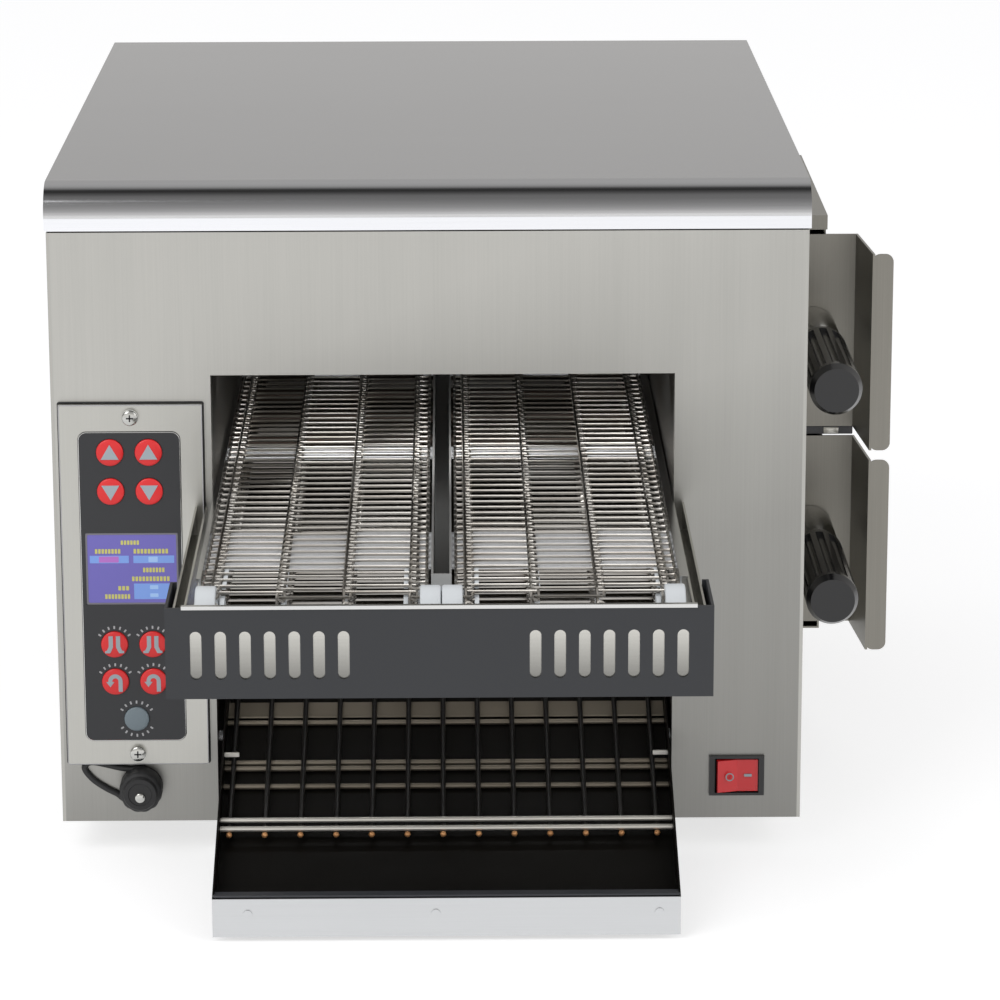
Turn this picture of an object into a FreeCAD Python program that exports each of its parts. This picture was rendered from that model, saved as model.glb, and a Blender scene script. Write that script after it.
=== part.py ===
import FreeCAD, Part
import math
import os

import Sketcher

# Conveyor toaster with two wire belts, in millimetres. X runs to the right, Y to the rear and
# Z up from the counter. The pieces are made about the middle of the cabinet, and the hand-over
# moves them all so that the origin lies under the middle of the whole object.

# Driving dimensions
SIZES = {
    # Cabinet
    "cabinet_width": 440.0,
    "cabinet_depth": 550.0,
    "cabinet_bottom": 20.8,
    "cabinet_top": 405.0,
    "sheet_gauge": 1.2,
    "side_hem": 2.0,
    "slip": 0.3,
    "overrun": 2.0,
    "pan_upstand": 16.0,
    "lid_drop": 26.4,
    "lid_front_radius": 19.0,
    "lid_seam": 0.8,
    "frame_leg": 14.0,
    "foot_radius": 17.0,
    "foot_inset": 92.0,
    "foot_side_inset": 42.0,
    "left_margin": 93.0,
    "right_margin": 77.0,
    "opening_drop": 111.7,
    "opening_hem": 12.0,
    "tunnel_drop": 86.8,
    "tunnel_inset": 13.0,
    "vent_length": 60.0,
    "vent_height": 5.0,
    "vent_pitch": 13.0,
    "vent_base": 79.0,
    "vent_rear_inset": 70.0,
    "screw_radius": 4.8,
    "screw_head": 2.4,
    "screw_shank": 2.0,
    "screw_length": 8.0,
    # Belts and their shafts
    "belt_top": 220.1,
    "belt_reach": 214.0,
    "belt_inset": 43.0,
    "belt_radius": 17.0,
    "belt_mesh": 3.6,
    "belt_wire": 2.2,
    "belt_pitch": 12.7,
    "left_belt_gap": 3.5,
    "lane_gap": 14.0,
    "right_belt_gap": 6.5,
    "shaft_radius": 5.0,
    "shaft_fit": 0.05,
    "wheel_width": 2.4,
    "wheel_inset": 11.0,
    "wheel_notch": 2.2,
    "block_width": 12.5,
    "block_radius": 12.0,
    "block_overhang": 2.4,
    "rail_reach": 175.0,
    "rail_gauge": 1.2,
    "rail_height": 33.6,
    "rail_gap": 0.7,
    "rail_inset": 25.0,
    "spacer_inset": 175.0,
    "spacer_length": 20.0,
    "spacer_height": 14.0,
    "right_flange": 4.7,
    "left_flange": 2.6,
    "divider_gap": 1.4,
    "divider_rise": 2.0,
    "plate_gauge": 1.2,
    "front_plate_reach": 140.0,
    "front_plate_length": 74.0,
    "middle_plate_inset": 109.0,
    "middle_plate_length": 26.0,
    "rear_plate_inset": 217.0,
    "rear_plate_length": 28.0,
    # Frame and guard in front of the cabinet
    "guard_reach": 225.0,
    "guard_left_lap": 14.0,
    "guard_right_lap": 10.0,
    "guard_height": 50.7,
    "guard_drop": 2.3,
    "guard_gauge": 1.5,
    "ear_depth": 52.0,
    "ear_lip": 3.7,
    "trim_inset": 9.0,
    "trim_rise": 1.2,
    "trim_drop": 0.8,
    "trim_lip": 0.8,
    "slot_width": 6.3,
    "slot_rise": 10.7,
    "slot_length": 26.9,
    "slot_pitch": 13.2,
    "slot_inset": 16.4,
    "arm_inset": 4.0,
    "arm_width": 7.0,
    "arm_height": 18.2,
    "arm_drop": 2.0,
    "arm_gauge": 1.2,
    # Heaters
    "heater_radius": 4.0,
    "upper_heater_drop": 14.5,
    "upper_heater_inset": 85.0,
    "heater_pitch": 62.0,
    "lower_heater_inset": 205.0,
    # Drive
    "chain_wheel_radius": 18.0,
    "chain_wheel_width": 4.0,
    "chain_gap": 0.4,
    "chain_height": 6.0,
    "chain_width": 6.0,
    "chain_offset": 14.0,
    "motor_level": 95.7,
    "motor_length": 40.0,
    "motor_gap": 3.0,
    "motor_radius": 24.0,
    "gearbox_width": 10.0,
    "gearbox_side": 56.0,
    "motor_shaft_radius": 5.0,
    "bearing_radius": 14.0,
    "bearing_width": 5.0,
    # Outlet
    "chute_inset": 85.0,
    "chute_front_level": 104.0,
    "chute_rise": 54.0,
    "chute_flange": 14.0,
    "tray_left_gap": 3.8,
    "tray_right_gap": 2.1,
    "tray_reach": 149.0,
    "tray_inset": 75.0,
    "tray_front_level": 9.8,
    "tray_fall": 78.5,
    "tray_gauge": 1.0,
    "tray_wall": 16.6,
    "lip_bottom": 3.0,
    "lip_top": 25.6,
    "lip_gauge": 1.2,
    "rivet_radius": 2.6,
    "rivet_head": 0.8,
    "rivet_rise": 2.2,
    "rivet_left_inset": 20.0,
    "rivet_middle": 2.8,
    "rivet_right_inset": 12.0,
    "pivot_radius": 2.5,
    "pivot_inset": 10.0,
    "pivot_rise": 8.0,
    "rest_radius": 3.0,
    "rest_inset": 52.0,
    "rack_wire": 1.5,
    "rack_weld": 0.5,
    "rack_left_gap": 6.6,
    "rack_right_gap": 10.3,
    "rack_reach": 83.0,
    "rack_inset": 70.0,
    "rack_bar_inset": 3.5,
    "rack_bar_gap": 7.6,
    "rack_low_inset": 49.5,
    "rack_middle_inset": 68.3,
    "rack_strip_inset": 113.0,
    "rack_strip_width": 13.5,
    "rack_strip_gauge": 1.2,
    # Control panel
    "bezel_inset": 4.5,
    "bezel_width": 83.5,
    "bezel_bottom": 57.9,
    "bezel_top": 277.0,
    "bezel_proud": 5.0,
    "overlay_inset": 11.1,
    "overlay_width": 59.4,
    "overlay_bottom": 72.8,
    "overlay_top": 261.0,
    "overlay_proud": 0.5,
    "overlay_gauge": 2.0,
    "overlay_corner": 5.0,
    "button_radius": 7.9,
    "select_radius": 7.3,
    "button_gap": 0.3,
    "button_proud": 0.9,
    "button_collar": 0.8,
    "button_collar_gauge": 1.0,
    "button_travel": 1.0,
    "left_column_inset": 18.4,
    "column_pitch": 22.5,
    "select_inset": 30.4,
    "up_row": 248.8,
    "down_row": 225.4,
    "merge_row": 132.4,
    "reverse_row": 109.5,
    "select_row": 86.4,
    "screen_width": 53.7,
    "screen_height": 43.0,
    "screen_inset": 29.8,
    "screen_level": 178.4,
    "screen_gauge": 1.6,
    "board_gauge": 1.6,
    "board_post": 2.5,
    "bezel_screw_inset": 7.0,
    # Power switch
    "switch_inset": 38.2,
    "switch_level": 47.5,
    "switch_width": 32.7,
    "switch_height": 24.5,
    "switch_rim": 2.2,
    "switch_body_depth": 22.0,
    "rocker_width": 24.4,
    "rocker_height": 19.6,
    "rocker_gap": 0.9,
    "rocker_throw": 8.0,
    "rocker_crown": 2.6,
    "rocker_pin": 1.5,
    "rocker_pin_reach": 0.5,
    "rocker_depth": 7.0,
    # Capped port
    "port_inset": 47.6,
    "port_level": 43.1,
    "port_radius": 10.0,
    "port_length": 11.0,
    "cap_radius": 12.8,
    "cap_length": 16.0,
    "cap_wall": 2.4,
    "cap_groove": 0.9,
    "cap_rivet_radius": 3.2,
    "cap_rivet_head": 0.9,
    "cap_rivet_drop": 2.0,
    "strap_gauge": 2.0,
    "strap_width": 2.6,
    "strap_reach": 35.0,
    "strap_tip_radius": 4.6,
    "strap_root_radius": 7.5,
    "strap_lean": 19.0,
    # Side drawers
    "housing_gap": 2.0,
    "housing_width": 30.0,
    "housing_depth": 196.0,
    "housing_inset": 104.0,
    "housing_drop": 66.0,
    "housing_bottom": 64.5,
    "cap_plate_reach": 10.0,
    "cap_plate_lip": 8.0,
    "cap_plate_rise": 3.0,
    "face_reach": 7.0,
    "face_gauge": 1.5,
    "face_width": 52.0,
    "face_gap": 6.3,
    "face_top_inset": 11.8,
    "face_base_inset": 6.8,
    "flank_depth": 65.0,
    "flank_flare": 4.5,
    "flange_width": 11.5,
    "flange_corner": 5.0,
    "drawer_wall": 1.0,
    "drawer_inset": 21.0,
    "drawer_lower_by": 6.0,
    "handle_reach": 24.0,
    "handle_rise": 1.3,
    "handle_tube_radius": 11.0,
    "grip_bite": 60.0,
    "grip_radius": 15.9,
    "grip_standoff": 65.0,
    "grip_length": 108.0,
    "grip_end": 5.0,
    "grip_flute_radius": 2.4,
    "shelf_gauge": 1.2,
    # Rear fittings
    "fan_inset": 48.0,
    "fan_drop": 145.0,
    "fan_side": 80.0,
    "fan_depth": 25.0,
    "fan_bore": 37.0,
    "fan_hub": 14.0,
    "fan_blade_reach": 35.5,
    "fan_blade_gauge": 2.0,
    "fan_spoke": 3.0,
    "fan_pin": 4.0,
    "guard_ring_wire": 1.2,
    "gland_inset": 40.0,
    "gland_level": 62.4,
    "gland_radius": 9.0,
    "gland_nut_radius": 13.0,
    "gland_nut_length": 7.0,
    "gland_length": 22.0,
    "gland_bore": 4.5,
}

# How many of each
VENT_COUNT = 8
SLOT_COUNT = 7
UPPER_HEATER_COUNT = 6
LOWER_HEATER_COUNT = 4
GRIP_FLUTES = 12
FAN_BLADES = 5
CHAIN_WHEEL_TEETH = 12
RACK_WIRES = 13
CAP_RIDGES = 18


class Size:
    """A length, angle or share that knows its value and its formula on the sheet."""

    def __init__(self, text, value):
        self.text = text
        self.value = value

    def __add__(self, other):
        other = as_size(other)
        return Size(f"({self.text} + {other.text})", self.value + other.value)

    def __sub__(self, other):
        other = as_size(other)
        return Size(f"({self.text} - {other.text})", self.value - other.value)

    def __mul__(self, other):
        other = as_size(other)
        return Size(f"({self.text} * {other.text})", self.value * other.value)

    def __truediv__(self, other):
        other = as_size(other)
        return Size(f"({self.text} / {other.text})", self.value / other.value)

    def __radd__(self, other):
        return as_size(other) + self

    def __rsub__(self, other):
        return as_size(other) - self

    def __rmul__(self, other):
        return as_size(other) * self

    def __rtruediv__(self, other):
        return as_size(other) / self

    def __neg__(self):
        return Size(f"(0 - {self.text})", -self.value)

    def __float__(self):
        return float(self.value)


class Sizes:
    """The driving dimensions by name, each read from its cell of the sheet."""

    def __init__(self, sheet):
        self.sheet = sheet

    def __getattr__(self, name):
        return Size(f"{self.sheet.Name}.{name}", float(self.sheet.get(name)))


def as_size(item):
    """Return the item as a Size, so that bare counts and shares can join a formula."""
    return item if isinstance(item, Size) else Size(f"{float(item):.9f}", float(item))


def fill_sheet(document, sizes):
    """Write each driving dimension to a cell of its own, with its name as alias."""
    sheet = document.addObject("Spreadsheet::Sheet", "Sizes")
    for row, (name, size) in enumerate(sizes.items(), start=1):
        sheet.set(f"A{row}", name)
        sheet.set(f"B{row}", str(size))
        sheet.setAlias(f"B{row}", name)
    document.recompute()
    return sheet


doc = FreeCAD.newDocument("conveyor_toaster")
S = Sizes(fill_sheet(doc, SIZES))
NODES = []

# Turns that lay a bar, which is made along Z, along another axis
LIE_ALONG = {
    "x": FreeCAD.Rotation(FreeCAD.Vector(0, 1, 0), 90),
    "y": FreeCAD.Rotation(FreeCAD.Vector(1, 0, 0), -90),
    "z": FreeCAD.Rotation(),
}


# Helpers that make bound shapes

def bind(thing, path, size):
    """Tie one property of a thing to a formula on the sheet."""
    thing.setExpression(path, as_size(size).text)


def place(thing, corner):
    """Tie the position of a thing to three formulas."""
    for axis, size in zip("xyz", corner):
        bind(thing, f"Placement.Base.{axis}", size)


def box(name, across, along, up):
    """A block between two X, two Y and two Z places, each pair given low first."""
    thing = doc.addObject("Part::Box", name)
    for side, (low, high) in zip(("Length", "Width", "Height"), (across, along, up)):
        bind(thing, side, high - as_size(low))
    place(thing, (across[0], along[0], up[0]))
    return thing


def rod(name, axis, radius, start, length):
    """A round bar that runs from a point along one axis."""
    thing = doc.addObject("Part::Cylinder", name)
    thing.Placement.Rotation = LIE_ALONG[axis]
    bind(thing, "Radius", radius)
    bind(thing, "Height", length)
    place(thing, start)
    return thing


def slope(name, across, along, front, rear):
    """A plate whose Z span is given at its front and at its rear end."""
    thing = doc.addObject("Part::Wedge", name)
    ends = {"Ymin": along[0], "Ymax": along[1], "Xmin": across[0], "Xmax": across[1],
            "X2min": across[0], "X2max": across[1], "Zmin": front[0], "Zmax": front[1],
            "Z2min": rear[0], "Z2max": rear[1]}
    for side, size in ends.items():
        bind(thing, side, size)
    return thing


def joined(name, pieces):
    """One solid from pieces that touch."""
    thing = doc.addObject("Part::MultiFuse", name)
    thing.Shapes = pieces
    thing.Refine = True
    return thing


def group(name, pieces):
    """Separate solids that share a node."""
    thing = doc.addObject("Part::Compound", name)
    thing.Links = pieces
    return thing


def cut(name, base, tools):
    """The base less every tool."""
    thing = doc.addObject("Part::Cut", name)
    thing.Base = base
    thing.Tool = tools[0] if len(tools) == 1 else joined(f"{name}_tools", tools)
    return thing


def ring_sector(name, axis, outer, inner, centre, length):
    """A tube along one axis."""
    start = centre
    bore_start = list(centre)
    step = "xyz".index(axis)
    bore_start[step] = centre[step] - S.overrun
    return cut(name, rod(f"{name}_outer", axis, outer, start, length),
               [rod(f"{name}_bore", axis, inner, bore_start, length + 2 * S.overrun)])


def around(count, first=0.0):
    """Angles of the places evenly spaced round a full turn, as cosine and sine."""
    turn = 2 * math.pi
    places = [first + turn * step / count for step in range(count)]
    return [(math.cos(angle), math.sin(angle)) for angle in places]


def node(name, thing):
    """Name a finished sub-part and list it for the hand-over."""
    thing.Label = name
    NODES.append(thing)
    return thing


def origin_plane(body, role):
    """One of the planes at a body's own origin."""
    return [plane for plane in body.Origin.OriginFeatures if plane.Role == role][0]


def rectangle(body, name, role, corner, width, height):
    """A sketch on a body's own plane with one rectangle, its corner, width and height bound."""
    sketch = body.newObject("Sketcher::SketchObject", name)
    sketch.AttachmentSupport = (origin_plane(body, role), [""])
    sketch.MapMode = "FlatFace"
    left, base = (float(as_size(size)) for size in corner)
    right, top = left + float(width), base + float(height)
    points = [(left, base), (right, base), (right, top), (left, top)]
    for index, start in enumerate(points):
        finish = points[(index + 1) % len(points)]
        sketch.addGeometry(Part.LineSegment(FreeCAD.Vector(*start, 0), FreeCAD.Vector(*finish, 0)))
    for index in range(len(points)):
        following = (index + 1) % len(points)
        sketch.addConstraint(Sketcher.Constraint("Coincident", index, 2, following, 1))
        direction = "Vertical" if index % 2 else "Horizontal"
        sketch.addConstraint(Sketcher.Constraint(direction, index))
    spans = [("DistanceX", (0, 1, 0, 2), width), ("DistanceY", (1, 1, 1, 2), height)]
    for kind, offset, axis in (("DistanceX", corner[0], -2), ("DistanceY", corner[1], -1)):
        if float(offset):
            spans.append((kind, (-1, 1, 0, 1), offset))
        else:
            sketch.addConstraint(Sketcher.Constraint("PointOnObject", 0, 1, axis))
    for kind, ends, size in spans:
        held = sketch.addConstraint(Sketcher.Constraint(kind, *ends, float(as_size(size))))
        bind(sketch, f"Constraints[{held}]", size)
    return sketch


def sheet_plate(name, role, corner, size, gauge, windows):
    """A flat sheet as a body: a padded rectangle with rectangular windows cut through it.

    The corner is the place of the sketch's own corner, and each window is the left, base, width
    and height of a rectangle counted from it.
    """
    body = doc.addObject("PartDesign::Body", name)
    outline = rectangle(body, f"{name}_outline", role, (0.0, 0.0), *size)
    doc.recompute()
    pad = body.newObject("PartDesign::Pad", f"{name}_pad")
    pad.Profile = outline
    bind(pad, "Length", gauge)
    doc.recompute()
    for number, (left, base, width, height) in enumerate(windows):
        window = rectangle(body, f"{name}_window_{number}", role, (left, base), width, height)
        pocket = body.newObject("PartDesign::Pocket", f"{name}_pocket_{number}")
        pocket.Profile = window
        pocket.Type = "ThroughAll"
        pocket.Reversed = True
        doc.recompute()
    place(body, corner)
    return body


# Places that several pieces share
half = S.cabinet_width / 2
inside = half - S.side_hem
front = -S.cabinet_depth / 2
rear = S.cabinet_depth / 2
bottom = S.cabinet_bottom
seat = S.cabinet_top - S.lid_drop - S.lid_seam
pan_top = bottom + S.sheet_gauge
panel_back = front + S.sheet_gauge
hem_back = panel_back + S.opening_hem
tunnel_left = S.left_margin - half
tunnel_right = half - S.right_margin
tunnel_rear = rear - S.tunnel_inset
tunnel_top = S.cabinet_top - S.tunnel_drop
opening_top = S.cabinet_top - S.opening_drop
tunnel_left_out = tunnel_left - S.sheet_gauge
tunnel_right_out = tunnel_right + S.sheet_gauge
bezel_left = S.bezel_inset - half
bezel_right = bezel_left + S.bezel_width
overlay_left = bezel_left + S.overlay_inset
overlay_right = overlay_left + S.overlay_width
bezel_face = front - S.bezel_proud
bezel_middle = (bezel_left + bezel_right) / 2
bezel_screws = [(bezel_middle, S.bezel_top - S.bezel_screw_inset),
                (bezel_middle, S.bezel_bottom + S.bezel_screw_inset)]
switch_centre = half - S.switch_inset
fan_centre = S.fan_inset - half
fan_level = S.cabinet_top - S.fan_drop
gland_centre = half - S.gland_inset
gland_inner = rear - S.sheet_gauge - S.gland_nut_length
switch_half = S.rocker_width / 2 + S.rocker_gap + S.sheet_gauge
switch_rise = S.rocker_height / 2 + S.rocker_gap + S.sheet_gauge
shaft_level = S.belt_top - S.belt_radius
drive_place = rear - S.belt_inset - S.belt_radius
idler_place = front - S.belt_reach + S.belt_radius
rail_near = front - S.rail_reach
rail_far = rear - S.rail_inset
rail_bottom = S.belt_top - S.rail_height
divider_top = S.belt_top + S.divider_rise
middle_plate_near = front + S.middle_plate_inset
guard_face = front - S.guard_reach
guard_left = tunnel_left - S.guard_left_lap
guard_right = tunnel_right + S.guard_right_lap
guard_top = S.belt_top - S.guard_drop
guard_bottom = guard_top - S.guard_height
slot_bottom = guard_bottom + S.slot_rise
slot_top = slot_bottom + S.slot_length
arm_top = guard_top - S.arm_drop
arm_bottom = arm_top - S.arm_height


# Cabinet

def make_base_pan():
    """Bottom pan: a floor with a low wall at the sides and the rear."""
    wall_top = pan_top + S.pan_upstand
    floor = box("pan_floor", (-inside, inside), (panel_back, rear - S.sheet_gauge),
                (bottom, pan_top))
    side_span = (panel_back, rear - S.sheet_gauge)
    left = box("pan_left", (-inside, -inside + S.sheet_gauge), side_span, (bottom, wall_top))
    right = box("pan_right", (inside - S.sheet_gauge, inside), side_span, (bottom, wall_top))
    back = box("pan_back", (-inside, inside), (rear - 2 * S.sheet_gauge, rear - S.sheet_gauge),
               (bottom, wall_top))
    node("base_pan", joined("base_pan", [floor, left, right, back]))


def make_feet():
    """Four rubber feet under the pan."""
    across = half - S.foot_side_inset
    places = [(x, y) for x in (-across, across) for y in (front + S.foot_inset,
                                                         rear - S.foot_inset)]
    feet = [rod(f"foot_{number}", "z", S.foot_radius, (x, y, 0.0), bottom)
            for number, (x, y) in enumerate(places)]
    node("feet", group("feet", feet))


def make_front_panel():
    """Front sheet with the belt opening, the control window and the switch window."""
    windows = [
        (inside + tunnel_left, 0.0, tunnel_right - tunnel_left, opening_top - bottom),
        (inside + overlay_left, S.overlay_bottom - bottom,
         S.overlay_width, S.overlay_top - S.overlay_bottom),
        (inside + switch_centre - switch_half - S.slip,
         S.switch_level - switch_rise - S.slip - bottom,
         2 * (switch_half + S.slip), 2 * (switch_rise + S.slip)),
    ]
    sheet = sheet_plate("front_sheet", "XZ_Plane", (-inside, panel_back, bottom),
                        (2 * inside, seat - bottom), S.sheet_gauge, windows)
    hem = (panel_back - S.sheet_gauge, hem_back)
    left = box("hem_left", (tunnel_left_out, tunnel_left), hem, (pan_top, opening_top))
    right = box("hem_right", (tunnel_right, tunnel_right_out), hem, (pan_top, opening_top))
    top = box("hem_top", (tunnel_left_out, tunnel_right_out), hem,
              (opening_top, opening_top + S.sheet_gauge))
    drill = [rod(f"front_drill_{number}", "y", S.screw_shank + S.slip,
                 (x, front - S.overrun, z), S.sheet_gauge + 2 * S.overrun)
             for number, (x, z) in enumerate(bezel_screws)]
    whole = joined("front_with_hems", [sheet, left, right, top])
    node("front_panel", cut("front_panel", whole, drill))


def make_side_panel(name, low):
    """Side sheet, as thick as its hem, with a bank of vent slots low at the rear."""
    sheet = box(f"{name}_sheet", (low, low + S.side_hem), (front, rear), (bottom, seat))
    vents = []
    for row in range(VENT_COUNT):
        level = S.vent_base + row * S.vent_pitch
        far = rear - S.vent_rear_inset
        vents.append(box(f"{name}_vent_{row}", (low - S.overrun, low + S.side_hem + S.overrun),
                         (far - S.vent_length, far), (level, level + S.vent_height)))
    node(name, cut(name, sheet, vents))


def make_rear_panel():
    """Rear sheet with vent slots, the fan's hole and the hole for the cable gland."""
    windows = []
    for row in range(VENT_COUNT):
        windows.append((inside - S.vent_length / 2, S.vent_base - bottom + row * S.vent_pitch,
                        S.vent_length, S.vent_height))
    sheet = sheet_plate("rear_sheet", "XZ_Plane", (-inside, rear, bottom),
                        (2 * inside, seat - bottom), S.sheet_gauge, windows)
    start = rear - S.sheet_gauge - S.overrun
    through = S.sheet_gauge + 2 * S.overrun
    fan = rod("rear_fan_hole", "y", S.fan_bore, (fan_centre, start, fan_level), through)
    gland = rod("rear_gland_hole", "y", S.gland_radius + S.slip,
                (gland_centre, start, S.gland_level), through)
    node("rear_panel", cut("rear_panel", sheet, [fan, gland]))


def make_top_frame():
    """Angle frame inside the panels' upper edges, which carries the lid."""
    near = front + S.lid_front_radius + S.sheet_gauge
    far = rear - S.sheet_gauge
    up = (seat - S.frame_leg, S.cabinet_top - S.sheet_gauge)
    outer = box("frame_outer", (-inside, inside), (near, far), up)
    inner = box("frame_inner", (-inside + S.side_hem, inside - S.side_hem),
                (near + S.side_hem, far - S.side_hem), (up[0] - S.overrun, up[1] + S.overrun))
    drill = [rod(f"frame_drill_{number}", "x", S.screw_shank + S.slip,
                 (-half - S.overrun, y, lid_screw_level), S.cabinet_width + 2 * S.overrun)
             for number, y in enumerate(lid_screw_places)]
    node("top_frame", cut("top_frame", outer, [inner] + drill))


def rounded_front_block(name, wide, near, far, low, top, radius):
    """A block whose upper front edge is rounded."""
    whole = box(f"{name}_whole", (-wide, wide), (near, far), (low, top))
    past = wide + S.overrun
    corner = box(f"{name}_corner", (-past, past), (near - S.overrun, near + radius),
                 (top - radius, top + S.overrun))
    edge = rod(f"{name}_edge", "x", radius, (-past, near + radius, top - radius), 2 * past)
    return cut(name, whole, [cut(f"{name}_waste", corner, [edge])])


def make_top_lid():
    """Top cover: a shallow box, open below, with a rounded fold along the front."""
    gauge = S.sheet_gauge
    low = seat + S.lid_seam
    outer = rounded_front_block("lid_outer", half + gauge, front, rear + gauge, low,
                                S.cabinet_top, S.lid_front_radius)
    inner = rounded_front_block("lid_inner", half, front + gauge, rear, low - S.overrun,
                                S.cabinet_top - gauge, S.lid_front_radius - gauge)
    drill = [rod(f"lid_drill_{number}", "x", S.screw_shank + S.slip,
                 (-half - S.overrun - gauge, y, lid_screw_level),
                 S.cabinet_width + 2 * (S.overrun + gauge))
             for number, y in enumerate(lid_screw_places)]
    node("top_lid", cut("top_lid", outer, [inner] + drill))


def make_panel_screws():
    """Screws of the lid's sides and of the control bezel, one head and shank each."""
    screws = []
    skin = half + S.sheet_gauge
    for number, y in enumerate(lid_screw_places):
        for side, head_start, shank_start in (
                ("left", -skin - S.screw_head, -skin),
                ("right", skin, skin - S.screw_length)):
            head = rod(f"lid_head_{side}_{number}", "x", S.screw_radius,
                       (head_start, y, lid_screw_level), S.screw_head)
            shank = rod(f"lid_shank_{side}_{number}", "x", S.screw_shank,
                        (shank_start, y, lid_screw_level), S.screw_length)
            screws.append(joined(f"lid_screw_{side}_{number}", [head, shank]))
    face = front - S.bezel_proud
    for number, (x, z) in enumerate(bezel_screws):
        head = rod(f"bezel_head_{number}", "y", S.screw_radius, (x, face - S.screw_head, z),
                   S.screw_head)
        shank = rod(f"bezel_shank_{number}", "y", S.screw_shank, (x, face, z), S.screw_length)
        screws.append(joined(f"bezel_screw_{number}", [head, shank]))
    node("panel_screws", group("panel_screws", screws))


def make_toasting_tunnel():
    """Side walls, rear wall and ceiling of the hot zone, one folded sheet."""
    gauge = S.sheet_gauge
    up = (pan_top, tunnel_top)
    span = (hem_back, tunnel_rear)
    left = box("tunnel_left", (tunnel_left_out, tunnel_left), span, up)
    right = box("tunnel_right", (tunnel_right, tunnel_right_out), span, up)
    back = box("tunnel_back", (tunnel_left_out, tunnel_right_out),
               (tunnel_rear, tunnel_rear + gauge), up)
    ceiling = box("tunnel_ceiling", (tunnel_left_out, tunnel_right_out),
                  (hem_back, tunnel_rear + gauge), (tunnel_top, tunnel_top + gauge))
    bores = [rod(f"tunnel_bore_{side}", "x", S.shaft_radius + S.slip,
                 (start - S.overrun, drive_place, shaft_level), gauge + 2 * S.overrun)
             for side, start in (("left", tunnel_left_out), ("right", tunnel_right))]
    whole = joined("tunnel_sheet", [left, right, back, ceiling])
    node("toasting_tunnel", cut("toasting_tunnel", whole, bores))


lid_screw_level = seat + S.lid_seam + S.screw_radius + S.screw_head
lid_screw_places = [front + S.vent_rear_inset, rear - S.vent_rear_inset]
make_base_pan()
make_feet()
make_front_panel()
make_side_panel("left_side_panel", -half)
make_side_panel("right_side_panel", inside)
make_rear_panel()
make_top_frame()
make_top_lid()
make_panel_screws()
make_toasting_tunnel()


# Conveyor

LANES = {
    "left": (tunnel_left + S.left_belt_gap, as_size(0.0)),
    "right": (S.lane_gap, tunnel_right - S.right_belt_gap),
}
divider_left = LANES["left"][1] + S.divider_gap
divider_right = LANES["right"][0] - S.divider_gap
rail_left = LANES["left"][0] - S.rail_gap
rail_right = LANES["right"][1] + S.rail_gap
lane_walls = {"left": (rail_left, divider_left), "right": (divider_right, rail_right)}
wheel_radius = S.belt_radius - S.belt_mesh - S.chain_gap


def make_rails():
    """A web and a top flange beside each belt, with spacers that meet the tunnel's walls."""
    top = S.belt_top
    rails = []
    for side, web, flange, spacer in (
            ("left", (rail_left - S.rail_gauge, rail_left), (rail_left - S.left_flange, rail_left),
             (tunnel_left, rail_left)),
            ("right", (rail_right, rail_right + S.rail_gauge),
             (rail_right, rail_right + S.right_flange), (rail_right, tunnel_right))):
        span = (rail_near, rail_far)
        parts = [box(f"{side}_web", web, span, (rail_bottom, top)),
                 box(f"{side}_flange", flange, span, (top - S.rail_gauge, top))]
        for number, place_along in enumerate((middle_plate_near, rear - S.spacer_inset)):
            parts.append(box(f"{side}_spacer_{number}", spacer,
                             (place_along, place_along + S.spacer_length),
                             (rail_bottom, rail_bottom + S.spacer_height)))
        bore = rod(f"{side}_rail_bore", "x", S.shaft_radius + S.slip,
                   (web[0] - S.overrun, drive_place, shaft_level), S.rail_gauge + 2 * S.overrun)
        rails.append(cut(f"{side}_rail", joined(f"{side}_rail_sheet", parts), [bore]))
    node("conveyor_rails", group("conveyor_rails", rails))


def make_divider():
    """Channel between the belts, open at the top."""
    gauge = S.rail_gauge
    span = (rail_near, rail_far)
    outer = box("divider_outer", (divider_left, divider_right), span,
                (rail_bottom, divider_top))
    inner = box("divider_inner", (divider_left + gauge, divider_right - gauge),
                (span[0] + gauge, span[1] - gauge),
                (rail_bottom + gauge, divider_top + S.overrun))
    bore = rod("divider_bore", "x", S.shaft_radius + S.shaft_fit,
               (divider_left - S.overrun, drive_place, shaft_level),
               divider_right - divider_left + 2 * S.overrun)
    node("centre_divider", cut("centre_divider", outer, [inner, bore]))


def net_face(low, high, near, far, rows, columns, wire):
    """A flat face with a grid of gaps, every second column shifted by half a pitch."""
    width = (high - low - wire) / columns
    pitch = (far - near) / rows
    outline = Part.makePolygon([FreeCAD.Vector(x, y, 0) for x, y in (
        (low, near), (high, near), (high, far), (low, far), (low, near))])
    holes = []
    for column in range(columns):
        shifted = column % 2
        left = low + wire + column * width
        right = left + width - wire
        for row in range(rows - shifted):
            base = near + (row + shifted / 2) * pitch + wire / 2
            top = base + pitch - wire
            holes.append(Part.makePolygon([FreeCAD.Vector(x, y, 0) for x, y in (
                (left, base), (left, top), (right, top), (right, base), (left, base))]))
    return Part.Face([outline] + holes)


def half_ring(low, high, place_along, sign):
    """Half a tube round a shaft, on the side of the sign along Y."""
    outer = Part.makeCylinder(float(S.belt_radius), high - low, FreeCAD.Vector(
        low, place_along, float(shaft_level)), FreeCAD.Vector(1, 0, 0))
    inner = Part.makeCylinder(float(S.belt_radius - S.belt_mesh), high - low, FreeCAD.Vector(
        low, place_along, float(shaft_level)), FreeCAD.Vector(1, 0, 0))
    reach = 2 * float(S.belt_radius)
    corner = FreeCAD.Vector(low, min(place_along, place_along + sign * reach),
                            float(shaft_level) - reach)
    side = Part.makeBox(high - low, reach, 2 * reach, corner)
    return outer.cut(inner).common(side)


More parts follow.
